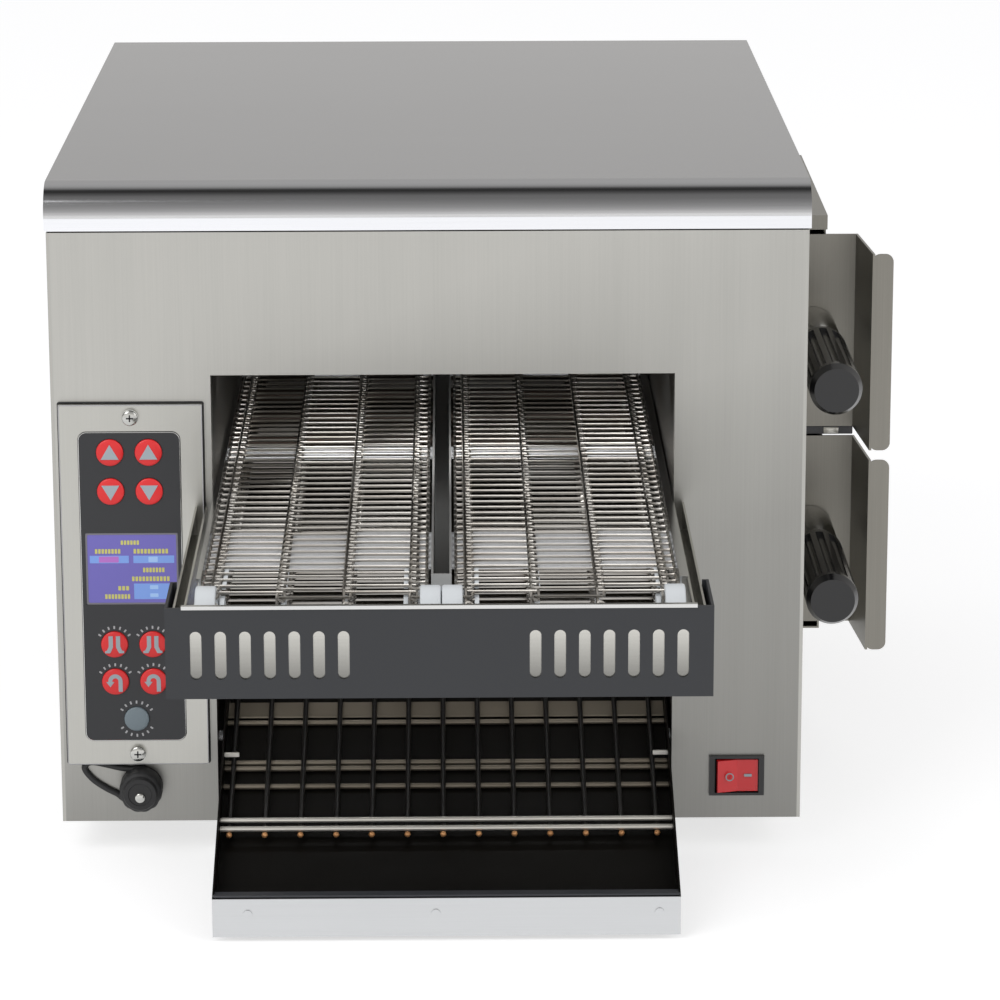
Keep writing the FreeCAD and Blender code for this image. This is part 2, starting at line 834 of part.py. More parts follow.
def make_belt(side):
    """Wire belt: a net with three gaps across on top, wider gaps below, and round ends."""
    low, high = (float(edge) for edge in LANES[side])
    near, far = float(idler_place), float(drive_place)
    rows = int((far - near) / float(S.belt_pitch))
    mesh, wire = float(S.belt_mesh), float(S.belt_wire)
    upper = net_face(low, high, near, far, rows, BELT_SPACES, wire)
    lower = net_face(low, high, near, far, rows, 1, wire)
    upper = upper.extrude(FreeCAD.Vector(0, 0, mesh))
    upper.translate(FreeCAD.Vector(0, 0, float(S.belt_top) - mesh))
    lower = lower.extrude(FreeCAD.Vector(0, 0, mesh))
    lower.translate(FreeCAD.Vector(0, 0, float(S.belt_top) - 2 * float(S.belt_radius)))
    name = f"{side}_belt"
    belt = doc.addObject("Part::Feature", name)
    belt.Shape = upper.fuse([lower, half_ring(low, high, near, -1),
                             half_ring(low, high, far, 1)])
    belt.Placement = FreeCAD.Placement()
    node(name, belt)


def notched_wheels(name, starts, width, radius, teeth, notch, along, level):
    """Toothed wheels on one axis along X: discs with round notches in their rims."""
    discs = [rod(f"{name}_disc_{number}", "x", radius, (start, along, level), width)
             for number, start in enumerate(starts)]
    first, last = starts[0] - S.overrun, starts[-1] + width + S.overrun
    notches = [rod(f"{name}_notch_{number}", "x", notch,
                   (first, along + cosine * radius, level + sine * radius), last - first)
               for number, (cosine, sine) in enumerate(around(teeth))]
    blank = discs[0] if len(discs) == 1 else group(f"{name}_discs", discs)
    return cut(f"{name}_wheels", blank, notches)


def wheel_starts(side):
    """Places of the wheels of a lane, evenly spaced between its edges."""
    low, high = LANES[side]
    first = low + S.wheel_inset
    last = high - S.wheel_inset - S.wheel_width
    return [first + (last - first) * (step / (WHEELS - 1)) for step in range(WHEELS)]


def make_idler(side, start, finish):
    """Front shaft of a lane with its wheels."""
    name = f"{side}_idler"
    wheels = notched_wheels(name, wheel_starts(side), S.wheel_width, wheel_radius, BELT_TEETH,
                            S.wheel_notch, idler_place, shaft_level)
    shaft = rod(f"{name}_shaft", "x", S.shaft_radius, (start, idler_place, shaft_level),
                finish - start)
    node(name, joined(name, [shaft, wheels]))


def make_drive_shaft(side, start, finish, chain_start):
    """Rear shaft of a lane with its belt wheels and its chain wheel."""
    name = f"{side}_drive_shaft"
    wheels = notched_wheels(name, wheel_starts(side), S.wheel_width, wheel_radius, BELT_TEETH,
                            S.wheel_notch, drive_place, shaft_level)
    chain = notched_wheels(f"{name}_chain", [chain_start], S.chain_wheel_width,
                           S.chain_wheel_radius, CHAIN_WHEEL_TEETH, S.wheel_notch,
                           drive_place, shaft_level)
    shaft = rod(f"{name}_bar", "x", S.shaft_radius, (start, drive_place, shaft_level),
                finish - start)
    node(name, joined(name, [shaft, wheels, chain]))


def make_bearings():
    """White blocks of the front shafts and flanged plates of the rear ones."""
    pieces = []
    places = {
        "left_outer": LANES["left"][0] - S.block_overhang,
        "left_inner": (divider_left + divider_right) / 2 - S.slip / 2 - S.block_width,
        "right_inner": (divider_left + divider_right) / 2 + S.slip / 2,
        "right_outer": LANES["right"][1] + S.block_overhang - S.block_width,
    }
    for name, low in places.items():
        high = low + S.block_width
        nose = rod(f"{name}_nose", "x", S.block_radius, (low, idler_place, shaft_level),
                   S.block_width)
        tail = box(f"{name}_tail", (low, high), (idler_place, rail_near),
                   (shaft_level - S.block_radius, shaft_level + S.block_radius))
        bore = rod(f"{name}_bore", "x", S.shaft_radius + S.shaft_fit,
                   (low - S.overrun, idler_place, shaft_level), S.block_width + 2 * S.overrun)
        pieces.append(cut(f"{name}_block", joined(f"{name}_solid", [nose, tail]), [bore]))
    for side, low in (("left", tunnel_left_out - S.bearing_width), ("right", tunnel_right_out)):
        pieces.append(ring_sector(f"{side}_rear_bearing", "x", S.bearing_radius,
                                  S.shaft_radius + S.shaft_fit, (low, drive_place, shaft_level),
                                  S.bearing_width))
    node("shaft_bearings", group("shaft_bearings", pieces))


def make_slide_plates():
    """Bright plates under the top runs, between a rail and the divider."""
    top = S.belt_top - S.belt_mesh - S.slip
    plates = [(front - S.front_plate_reach, S.front_plate_length),
              (middle_plate_near, S.middle_plate_length),
              (rear - S.rear_plate_inset, S.rear_plate_length)]
    spans = [(near, near + length) for near, length in plates]
    plates = [box(f"{side}_plate_{number}", walls, span, (top - S.plate_gauge, top))
              for side, walls in lane_walls.items() for number, span in enumerate(spans)]
    node("belt_slide_plates", group("belt_slide_plates", plates))


def make_conveyor_frame():
    """Stainless U in front of the cabinet: two channel arms and a cross plate."""
    gauge = S.arm_gauge
    near = guard_face + S.guard_gauge
    left = guard_left + S.arm_inset
    right = guard_right - S.arm_inset
    parts = [box("cross_plate", (left, right), (near, near + gauge),
                 (slot_bottom - S.slot_width, arm_top))]
    for side, low, far in (("left", left, bezel_face - S.slip),
                           ("right", right - S.arm_width, front)):
        high = low + S.arm_width
        span = (near, far)
        parts += [box(f"{side}_arm_floor", (low, high), span, (arm_bottom, arm_bottom + gauge)),
                  box(f"{side}_arm_outer", (low, low + gauge), span, (arm_bottom, arm_top)),
                  box(f"{side}_arm_inner", (high - gauge, high), span, (arm_bottom, arm_top))]
    node("conveyor_frame", joined("conveyor_frame", parts))


def make_guard():
    """Charcoal guard with upright slots at each end and a folded ear at each side."""
    gauge = S.guard_gauge
    face = guard_face
    left, right = guard_left, guard_right
    up = (guard_bottom, guard_top)
    parts = [box("guard_plate", (left, right), (face, face + gauge), up),
             box("guard_left_ear", (left, left + gauge), (face, face + S.ear_depth), up),
             box("guard_right_ear", (right - gauge, right), (face, face + S.ear_depth), up)]
    fold = (face + S.ear_depth - gauge, face + S.ear_depth)
    parts += [box("guard_left_fold", (left, left + S.ear_lip), fold, up),
              box("guard_right_fold", (right - S.ear_lip, right), fold, up)]
    slots = []
    radius = S.slot_width / 2
    for end, first, step in (("left", left + S.slot_inset, S.slot_pitch),
                             ("right", right - S.slot_inset, -S.slot_pitch)):
        for number in range(SLOT_COUNT):
            middle = first + number * step
            name = f"guard_{end}_slot_{number}"
            through = (face - S.overrun, face + gauge + S.overrun)
            length = through[1] - through[0]
            slots.append(box(f"{name}_middle", (middle - radius, middle + radius), through,
                             (slot_bottom + radius, slot_top - radius)))
            slots += [rod(f"{name}_{tip}", "y", radius, (middle, through[0], level), length)
                      for tip, level in (("low", slot_bottom + radius),
                                         ("high", slot_top - radius))]
    node("front_guard", cut("front_guard", joined("guard_sheet", parts), slots))


def make_guard_trim():
    """Bright cap over the guard's top edge."""
    face, back = guard_face, guard_face + S.guard_gauge
    lip = S.trim_lip
    low = guard_top - S.trim_drop
    across = (guard_left + S.trim_inset, guard_right - S.trim_inset)
    cap = box("trim_cap", across, (face - lip, back + lip), (guard_top, guard_top + S.trim_rise))
    near = box("trim_near", across, (face - lip, face), (low, guard_top))
    far = box("trim_far", across, (back, back + lip), (low, guard_top))
    node("guard_trim", joined("guard_trim", [cap, near, far]))


def make_heaters():
    """Sheathed heaters across the tunnel above the belts and between the belts' runs."""
    rods = []
    for number in range(UPPER_HEATER_COUNT):
        along = front + S.upper_heater_inset + number * S.heater_pitch
        rods.append(rod(f"upper_heater_{number}", "x", S.heater_radius,
                        (tunnel_left, along, tunnel_top - S.upper_heater_drop),
                        tunnel_right - tunnel_left))
    for side, (low, high) in lane_walls.items():
        for number in range(LOWER_HEATER_COUNT):
            along = front + S.lower_heater_inset + number * S.heater_pitch
            rods.append(rod(f"{side}_lower_heater_{number}", "x", S.heater_radius,
                            (low, along, shaft_level), high - low))
    node("heating_elements", group("heating_elements", rods))


def chain_loop(name, low):
    """Closed chain round the drive wheel and the motor wheel, a band with round ends."""
    span = (low, low + S.chain_width)
    loops = []
    for part, radius, grow in (("outer", S.chain_wheel_radius + S.chain_gap + S.chain_height, 0.0),
                               ("inner", S.chain_wheel_radius + S.chain_gap, S.overrun)):
        across = (span[0] - grow, span[1] + grow)
        shape = [box(f"{name}_{part}_sides", across, (drive_place - radius, drive_place + radius),
                     (S.motor_level, shaft_level))]
        shape += [rod(f"{name}_{part}_{end}", "x", radius, (across[0], drive_place, level),
                      across[1] - across[0])
                  for end, level in (("low", S.motor_level), ("high", shaft_level))]
        loops.append(joined(f"{name}_{part}", shape))
    return cut(name, loops[0], [loops[1]])


def make_drive_train():
    """On each side a gearmotor on its foot, the motor's wheel, and the chain."""
    motors, chains = [], []
    for side, sign, wall in (("left", -1, tunnel_left_out), ("right", 1, tunnel_right_out)):
        near = wall + sign * S.chain_offset
        far = near + sign * S.chain_wheel_width
        box_near = far + sign * S.motor_gap
        box_far = box_near + sign * S.gearbox_width
        side_half = S.gearbox_side / 2
        span = (drive_place - side_half, drive_place + side_half)
        ends = sorted((box_near, box_far), key=float)
        case = box(f"{side}_gearbox", ends, span, (S.motor_level - side_half,
                                                  S.motor_level + side_half))
        foot = box(f"{side}_motor_foot", ends, (span[0] + S.motor_gap, span[1] - S.motor_gap),
                   (pan_top, S.motor_level - side_half))
        motor_start = min((box_far, box_far + sign * S.motor_length), key=float)
        motor = rod(f"{side}_motor", "x", S.motor_radius,
                    (motor_start, drive_place, S.motor_level), S.motor_length)
        bore_start = min((box_near, box_near + sign * S.gearbox_width), key=float)
        bore = rod(f"{side}_gearbox_bore", "x", S.motor_shaft_radius + S.shaft_fit,
                   (bore_start - S.overrun, drive_place, S.motor_level),
                   S.gearbox_width + 2 * S.overrun)
        motors.append(joined(f"{side}_gearmotor", [
            cut(f"{side}_gearbox_bored", joined(f"{side}_case", [case, foot]), [bore]), motor]))
        wheel_start = min((near, far), key=float)
        chains.append(chain_loop(f"{side}_chain",
                                 wheel_start - (S.chain_width - S.chain_wheel_width) / 2))
        name = f"{side}_motor_sprocket"
        wheel = notched_wheels(name, [wheel_start], S.chain_wheel_width, S.chain_wheel_radius,
                               CHAIN_WHEEL_TEETH, S.wheel_notch, drive_place,
                               S.motor_level)
        shaft_far = box_far - sign * S.slip
        shaft_start = min((near, shaft_far), key=float)
        shaft_end = max((near, shaft_far), key=float)
        shaft = rod(f"{name}_shaft", "x", S.motor_shaft_radius,
                    (shaft_start, drive_place, S.motor_level), shaft_end - shaft_start)
        node(name, joined(name, [wheel, shaft]))
        tip = far + sign * S.slip
        if side == "left":
            make_drive_shaft(side, tip, divider_left + S.rail_gauge + S.slip, wheel_start)
        else:
            make_drive_shaft(side, divider_right - S.rail_gauge - S.slip, tip, wheel_start)
    node("gearmotors", group("gearmotors", motors))
    node("drive_chains", group("drive_chains", chains))


BELT_SPACES = 3
BELT_TEETH = 8
WHEELS = 4
middle = (divider_left + divider_right) / 2
make_rails()
make_divider()
make_belt("left")
make_belt("right")
make_idler("left", LANES["left"][0] - S.block_overhang, middle - S.slip / 2)
make_idler("right", middle + S.slip / 2, LANES["right"][1] + S.block_overhang)
make_bearings()
make_slide_plates()
make_conveyor_frame()
make_guard()
make_guard_trim()
make_heaters()
make_drive_train()


# Outlet

tray_left, tray_right = tunnel_left + S.tray_left_gap, tunnel_right - S.tray_right_gap
tray_near, tray_far = front - S.tray_reach, front + S.tray_inset
rack_left, rack_right = tray_left + S.rack_left_gap, tray_right - S.rack_right_gap
tray_slope = math.atan2(float(S.tray_fall), float(tray_far - tray_near))
tray_cosine = math.cos(tray_slope)


def tray_floor_level(along):
    """Height of the underside of the tray's floor at a place along Y."""
    return S.tray_front_level + S.tray_fall * ((along - tray_near) / (tray_far - tray_near))


def make_chute():
    """Sloping sheet under the belts with a low flange along each side."""
    left, right = tunnel_left + S.slip, tunnel_right - S.slip
    near, far = front + S.chute_inset, tunnel_rear - S.slip
    low, high = S.chute_front_level, S.chute_front_level + S.chute_rise
    gauge = S.sheet_gauge
    span = (near, far)
    floor = slope("chute_floor", (left, right), span, (low, low + gauge), (high, high + gauge))
    walls = [slope(f"chute_flange_{side}", across, span, (low, low + S.chute_flange),
                   (high, high + S.chute_flange))
             for side, across in (("left", (left, left + gauge)),
                                  ("right", (right - gauge, right)))]
    node("chute", joined("chute", [floor] + walls))


def make_landing_tray():
    """Black tray: a sloping floor and two side walls with the holes of the pivot pins."""
    gauge = S.tray_gauge
    low, high = S.tray_front_level, S.tray_front_level + S.tray_fall
    span = (tray_near, tray_far)
    floor = slope("tray_floor", (tray_left, tray_right), span, (low, low + gauge),
                  (high, high + gauge))
    walls = [slope(f"tray_wall_{side}", across, span, (low, low + S.tray_wall),
                   (high, high + S.tray_wall))
             for side, across in (("left", (tray_left, tray_left + gauge)),
                                  ("right", (tray_right - gauge, tray_right)))]
    holes = [rod(f"tray_hole_{side}", "x", S.pivot_radius + S.shaft_fit,
                 (start - S.overrun, pivot_along, pivot_level), gauge + 2 * S.overrun)
             for side, start in (("left", tray_left), ("right", tray_right - gauge))]
    node("landing_tray", cut("landing_tray", joined("tray_sheet", [floor] + walls), holes))


def make_tray_lip():
    """Stainless strip on the tray's front edge with three rivet heads."""
    face = tray_near - S.lip_gauge
    strip = box("lip_strip", (tray_left, tray_right), (face, tray_near), (S.lip_bottom, S.lip_top))
    level = (S.lip_bottom + S.lip_top) / 2 + S.rivet_rise
    places = (tray_left + S.rivet_left_inset, S.rivet_middle, tray_right - S.rivet_right_inset)
    heads = [rod(f"lip_rivet_{number}", "y", S.rivet_radius, (x, face - S.rivet_head, level),
                 S.rivet_head) for number, x in enumerate(places)]
    node("tray_lip", joined("tray_lip", [strip] + heads))


def make_tray_pins():
    """Pins that the tray turns on and the bar that its floor rests on."""
    reach = S.tray_gauge
    pins = [rod("left_pivot_pin", "x", S.pivot_radius, (tunnel_left, pivot_along, pivot_level),
                tray_left + reach - tunnel_left),
            rod("right_pivot_pin", "x", S.pivot_radius,
                (tray_right - reach, pivot_along, pivot_level), tunnel_right - tray_right + reach)]
    along = tray_far - S.rest_inset
    level = tray_floor_level(along) - S.slip - S.rest_radius / tray_cosine
    bar = rod("rest_bar", "x", S.rest_radius, (tunnel_left, along, level),
              tunnel_right - tunnel_left)
    node("tray_pins", group("tray_pins", pins + [bar]))


def make_product_rack():
    """Sloping wires over cross bars and a strip, with two bars across their front ends."""
    radius = S.rack_wire
    bar_rise = S.tray_gauge + S.slip + radius / tray_cosine
    wire_rise = bar_rise + (2 * radius - S.rack_weld) / tray_cosine
    near, far = front - S.rack_reach, front + S.rack_inset
    count = RACK_WIRES
    pitch = (rack_right - rack_left) / (count - 1)
    degrees = math.degrees(tray_slope)
    wires = []
    for number in range(count):
        wire = rod(f"rack_wire_{number}", "y", radius,
                   (rack_left + number * pitch, near, tray_floor_level(near) + wire_rise),
                   (far - near) / tray_cosine)
        wire.Placement.Rotation = FreeCAD.Rotation(FreeCAD.Vector(1, 0, 0), degrees - 90)
        wires.append(wire)
    across = (tray_left + S.tray_gauge + S.slip, tray_right - S.tray_gauge - S.slip)
    over = wire_rise + (2 * radius - S.rack_weld) / tray_cosine
    inset = S.rack_bar_inset
    places = [(near + inset, over), (near + inset + S.rack_bar_gap, over),
              (near + S.rack_low_inset, bar_rise), (near + S.rack_middle_inset, bar_rise),
              (far - inset, bar_rise)]
    bars = [rod(f"rack_bar_{number}", "x", radius,
                (across[0], along, tray_floor_level(along) + rise), across[1] - across[0])
            for number, (along, rise) in enumerate(places)]
    span = (near + S.rack_strip_inset, near + S.rack_strip_inset + S.rack_strip_width)
    strip_rise = wire_rise - (radius - S.rack_weld) / tray_cosine
    tops = [tray_floor_level(along) + strip_rise for along in span]
    bars.append(slope("rack_strip", across, span, *[(top - S.rack_strip_gauge, top)
                                                    for top in tops]))
    node("product_rack", joined("product_rack", wires + bars))


pivot_along = tray_far - S.pivot_inset
pivot_level = tray_floor_level(pivot_along) + S.pivot_rise
make_chute()
make_landing_tray()
make_tray_lip()
make_tray_pins()
make_product_rack()


# Control panel

def rounded_plate(name, across, along, up, radius):
    """A plate in the X-Z plane with four round corners."""
    parts = [box(f"{name}_wide", across, along, (up[0] + radius, up[1] - radius)),
             box(f"{name}_tall", (across[0] + radius, across[1] - radius), along, up)]
    for number, (x, z) in enumerate([(x, z) for x in (across[0] + radius, across[1] - radius)
                                     for z in (up[0] + radius, up[1] - radius)]):
        parts.append(rod(f"{name}_corner_{number}", "y", radius, (x, along[0], z),
                         along[1] - along[0]))
    return joined(name, parts)


overlay_face = bezel_face - S.overlay_proud
overlay_back = overlay_face + S.overlay_gauge
left_column = overlay_left + S.left_column_inset
right_column = left_column + S.column_pitch
select_column = overlay_left + S.select_inset
screen_centre = overlay_left + S.screen_inset
BUTTONS = {
    "button_up_left": (left_column, S.up_row, S.button_radius),
    "button_up_right": (right_column, S.up_row, S.button_radius),
    "button_down_left": (left_column, S.down_row, S.button_radius),
    "button_down_right": (right_column, S.down_row, S.button_radius),
    "button_merge_left": (left_column, S.merge_row, S.button_radius),
    "button_merge_right": (right_column, S.merge_row, S.button_radius),
    "button_reverse_left": (left_column, S.reverse_row, S.button_radius),
    "button_reverse_right": (right_column, S.reverse_row, S.button_radius),
    "button_select": (select_column, S.select_row, S.select_radius),
}


def make_control_bezel():
    """Stainless plate round the overlay, drilled for its two screws."""
    plate = box("bezel_plate", (bezel_left, bezel_right), (bezel_face, front),
                (S.bezel_bottom, S.bezel_top))
    window = rounded_plate("bezel_window", (overlay_left - S.slip, overlay_right + S.slip),
                           (bezel_face - S.overrun, front + S.overrun),
                           (S.overlay_bottom - S.slip, S.overlay_top + S.slip),
                           S.overlay_corner + S.slip)
    drill = [rod(f"bezel_drill_{number}", "y", S.screw_shank + S.slip,
                 (x, bezel_face - S.overrun, z), S.bezel_proud + 2 * S.overrun)
             for number, (x, z) in enumerate(bezel_screws)]
    node("control_bezel", cut("control_bezel", plate, [window] + drill))


def screen_span(grow):
    """X and Z spans of the screen, grown by a clearance."""
    wide, tall = S.screen_width / 2 + grow, S.screen_height / 2 + grow
    return ((screen_centre - wide, screen_centre + wide),
            (S.screen_level - tall, S.screen_level + tall))


def make_control_overlay():
    """Black overlay with the holes of the buttons and of the screen."""
    plate = rounded_plate("overlay_plate", (overlay_left, overlay_right),
                          (overlay_face, overlay_back), (S.overlay_bottom, S.overlay_top),
                          S.overlay_corner)
    through = (overlay_face - S.overrun, overlay_back + S.overrun)
    across, up = screen_span(S.slip)
    holes = [box("overlay_screen_hole", across, through, up)]
    holes += [rod(f"{name}_hole", "y", radius + S.button_gap, (column, through[0], row),
                  through[1] - through[0])
              for name, (column, row, radius) in BUTTONS.items()]
    node("control_overlay", cut("control_overlay", plate, holes))


def make_display():
    """Screen in the overlay, and the board behind the buttons."""
    across, up = screen_span(0.0)
    node("display_window", box("display_window", across,
                               (overlay_back - S.screen_gauge, overlay_back + S.slip), up))
    board_near = overlay_back + S.button_collar_gauge + S.slip + S.button_travel + S.slip
    board = box("board_plate", (overlay_left + S.overlay_corner,
                                overlay_right - S.overlay_corner),
                (board_near, board_near + S.board_gauge),
                (S.overlay_bottom + S.overlay_corner, S.overlay_top - S.overlay_corner))
    posts = [rod(f"board_post_{number}", "y", S.board_post, (x, overlay_back, z),
                 board_near - overlay_back)
             for number, (x, z) in enumerate(
                 [(across[0] + S.board_post, up[0] - 2 * S.board_post),
                  (across[1] - S.board_post, up[0] - 2 * S.board_post),
                  (across[0] + S.board_post, up[1] + 2 * S.board_post),
                  (across[1] - S.board_post, up[1] + 2 * S.board_post)])]
    screen_post = box("screen_post", (across[0] + S.board_post, across[1] - S.board_post),
                      (overlay_back + S.slip, board_near),
                      (up[0] + S.board_post, up[1] - S.board_post))
    node("control_board", joined("control_board", [board, screen_post] + posts))


def make_buttons():
    """Nine buttons, each a disc with a collar behind the overlay."""
    for name, (column, row, radius) in BUTTONS.items():
        face = overlay_face - S.button_proud
        collar_near = overlay_back + S.slip
        disc = rod(f"{name}_disc", "y", radius, (column, face, row), collar_near - face)
        collar = rod(f"{name}_collar", "y", radius + S.button_collar,
                     (column, collar_near, row), S.button_collar_gauge)
        node(name, joined(name, [disc, collar]))


make_control_bezel()
make_control_overlay()
make_display()
make_buttons()


# Power switch

def make_switch():
    """Frame of the switch with its box behind the panel."""
    x, z = switch_centre, S.switch_level
    rim = box("switch_rim", (x - S.switch_width / 2, x + S.switch_width / 2),
              (front - S.switch_rim, front), (z - S.switch_height / 2, z + S.switch_height / 2))
    case = box("switch_case", (x - switch_half, x + switch_half),
               (front, front + S.switch_body_depth), (z - switch_rise, z + switch_rise))
    across, up = switch_half - S.sheet_gauge, switch_rise - S.sheet_gauge
    pocket = box("switch_pocket", (x - across, x + across),
                 (front - S.switch_rim - S.overrun, front + S.rocker_depth + S.overrun),
                 (z - up, z + up))
    node("switch_bezel", cut("switch_bezel", joined("switch_solid", [rim, case]), [pocket]))


def make_rocker():
    """Rocker with two faces that meet at a shallow angle, resting with its right end in."""
    wide, tall = float(S.rocker_width) / 2, float(S.rocker_height)
    throw = math.radians(float(S.rocker_throw))
    crown, depth = float(S.rocker_crown), float(S.rocker_depth)
    pivot = float(front + S.switch_rim)
    tip = crown + wide * math.tan(throw)
    taper = float(S.rocker_gap)
    outline = [(-wide, -tip), (0.0, -crown), (wide, -tip), (wide, 0.0),
               (wide - depth / 2, depth - taper), (-wide + depth / 2, depth - taper),
               (-wide, 0.0), (-wide, -tip)]
    wire = Part.makePolygon([FreeCAD.Vector(x, y, -tall / 2) for x, y in outline])
    rocker = doc.addObject("Part::Feature", "power_rocker")
    reach = float(S.rocker_pin_reach)
    pin = Part.makeCylinder(float(S.rocker_pin), tall + 2 * reach,
                            FreeCAD.Vector(0, 0, -tall / 2 - reach))
    rocker.Shape = Part.Face(wire).extrude(FreeCAD.Vector(0, 0, tall)).fuse(pin)
    rocker.Placement = FreeCAD.Placement(
        FreeCAD.Vector(float(switch_centre), pivot - taper, float(S.switch_level)),
        FreeCAD.Rotation(FreeCAD.Vector(0, 0, 1), float(S.rocker_throw)))
    node("power_rocker", rocker)


# Capped port

port_x, port_z = S.port_inset - half, S.port_level


def make_port():
    """Collar of the port, its knurled cap and the rivet in the cap."""
    collar = ring_sector("port_socket", "y", S.port_radius, S.port_radius - S.cap_wall,
                         (port_x, front - S.port_length, port_z), S.port_length)
    node("port_socket", collar)
    skirt = front - S.strap_gauge - S.slip
    face = skirt - S.cap_length
    body = rod("cap_body", "y", S.cap_radius, (port_x, face, port_z), S.cap_length)
    bore = rod("cap_bore", "y", S.port_radius + S.chain_gap,
               (port_x, front - S.port_length - S.slip, port_z), S.port_length + S.overrun)
    ridges = [rod(f"cap_groove_{number}", "y", S.cap_groove,
                  (port_x + cosine * S.cap_radius, face - S.overrun,
                   port_z + sine * S.cap_radius), S.cap_length + 2 * S.overrun)
              for number, (cosine, sine) in enumerate(around(CAP_RIDGES))]
    cap = cut("cap_shell", body, [bore] + ridges)
    rivet = rod("cap_rivet", "y", S.cap_rivet_radius,
                (port_x, face - S.cap_rivet_head, port_z - S.cap_rivet_drop), S.cap_rivet_head)
    node("port_cap", group("port_cap", [cap, rivet]))


def hull_face(first, second):
    """Flat face inside the band round two circles, each a centre and a radius."""
    (x0, z0, r0), (x1, z1, r1) = first, second
    heading = math.atan2(z1 - z0, x1 - x0)
    lean = math.acos((r0 - r1) / math.hypot(x1 - x0, z1 - z0))

    def rim(circle, angle):
        x, z, radius = circle
        return FreeCAD.Vector(x + radius * math.cos(angle), 0, z + radius * math.sin(angle))

    up, down = heading + lean, heading - lean
    edges = [Part.LineSegment(rim(first, up), rim(second, up)),
             Part.Arc(rim(second, up), rim(second, heading), rim(second, down)),
             Part.LineSegment(rim(second, down), rim(first, down)),
             Part.Arc(rim(first, down), rim(first, heading + math.pi), rim(first, up))]
    return Part.Face(Part.Wire([edge.toShape() for edge in edges]))


def make_strap():
    """Rubber strap: a ring round the collar and a long loop that leans up to the left."""
    width, gauge = float(S.strap_width), float(S.strap_gauge)
    collar = float(S.port_radius + S.slip)
    reach = float(S.strap_reach - S.strap_tip_radius)
    lean = math.radians(180 - float(S.strap_lean))
    tip_x, tip_z = reach * math.cos(lean), reach * math.sin(lean)
    tip = float(S.strap_tip_radius)
    root = float(S.strap_root_radius)
    loop = hull_face((0.0, 0.0, root), (tip_x, tip_z, tip))
    hollow = hull_face((0.0, 0.0, root - width), (tip_x, tip_z, tip - width))
    depth = FreeCAD.Vector(0, -gauge, 0)
    ring = Part.makeCylinder(collar + width, gauge, FreeCAD.Vector(), FreeCAD.Vector(0, -1, 0))
    hole = Part.makeCylinder(collar, gauge, FreeCAD.Vector(), FreeCAD.Vector(0, -1, 0))
    strap = doc.addObject("Part::Feature", "cap_tether")
    strap.Shape = loop.cut(hollow).extrude(depth).fuse(ring).cut(hole).removeSplitter()
    strap.Placement = FreeCAD.Placement(
        FreeCAD.Vector(float(port_x), float(front), float(port_z)), FreeCAD.Rotation())
    node("cap_tether", strap)


make_switch()
make_rocker()
make_port()
make_strap()


# Units on the right side

housing_left = half + S.housing_gap
housing_right = housing_left + S.housing_width
housing_rear = rear - S.housing_inset
housing_front = housing_rear - S.housing_depth
housing_top = S.cabinet_top - S.housing_drop
face_near = housing_front - S.face_reach
face_right = half + S.face_width
grip_far = face_near - S.grip_standoff
handle_centre = half + S.handle_reach
drawer_rear = housing_rear - S.drawer_inset
face_back = face_near + S.face_gauge
upper_base = (S.housing_bottom + housing_top) / 2
FACES = {
    "upper": (upper_base, housing_top - S.face_top_inset),
    "lower": (S.housing_bottom + S.face_base_inset, upper_base - S.face_gap),
}
LEVELS = {side: (low, high, (low + high) / 2 + S.handle_rise)
          for side, (low, high) in FACES.items()}


def make_drawer_housing():
    """Case on the side panel with a shelf between the drawers, open at the front."""
    gauge = S.shelf_gauge
    span = (housing_front, housing_rear)
    outer = box("housing_outer", (half, housing_right), span, (S.housing_bottom, housing_top))
    shelf_top = upper_base - S.face_gap / 2 + gauge / 2
    inner_span = (span[0] - S.overrun, span[1] - gauge)
    across = (half + gauge, housing_right - gauge)
    upper = box("housing_upper_bay", across, inner_span, (shelf_top, housing_top - gauge))
    lower = box("housing_lower_bay", across, inner_span,
                (S.housing_bottom + gauge, shelf_top - gauge))
    node("drawer_housing", cut("drawer_housing", outer, [upper, lower]))


def make_housing_cap():
    """Sloping cap over the housing with a short lip in front."""
    low, gauge = housing_top, S.shelf_gauge
    near = housing_front - S.cap_plate_reach
    plate = slope("cap_plate", (half, housing_right), (near, housing_rear),
                  (low, low + gauge), (low, low + S.cap_plate_rise))
    lip = box("cap_lip", (half, housing_right), (near - gauge, near),
              (low - S.cap_plate_lip, low + gauge))
    node("housing_cap", joined("housing_cap", [plate, lip]))


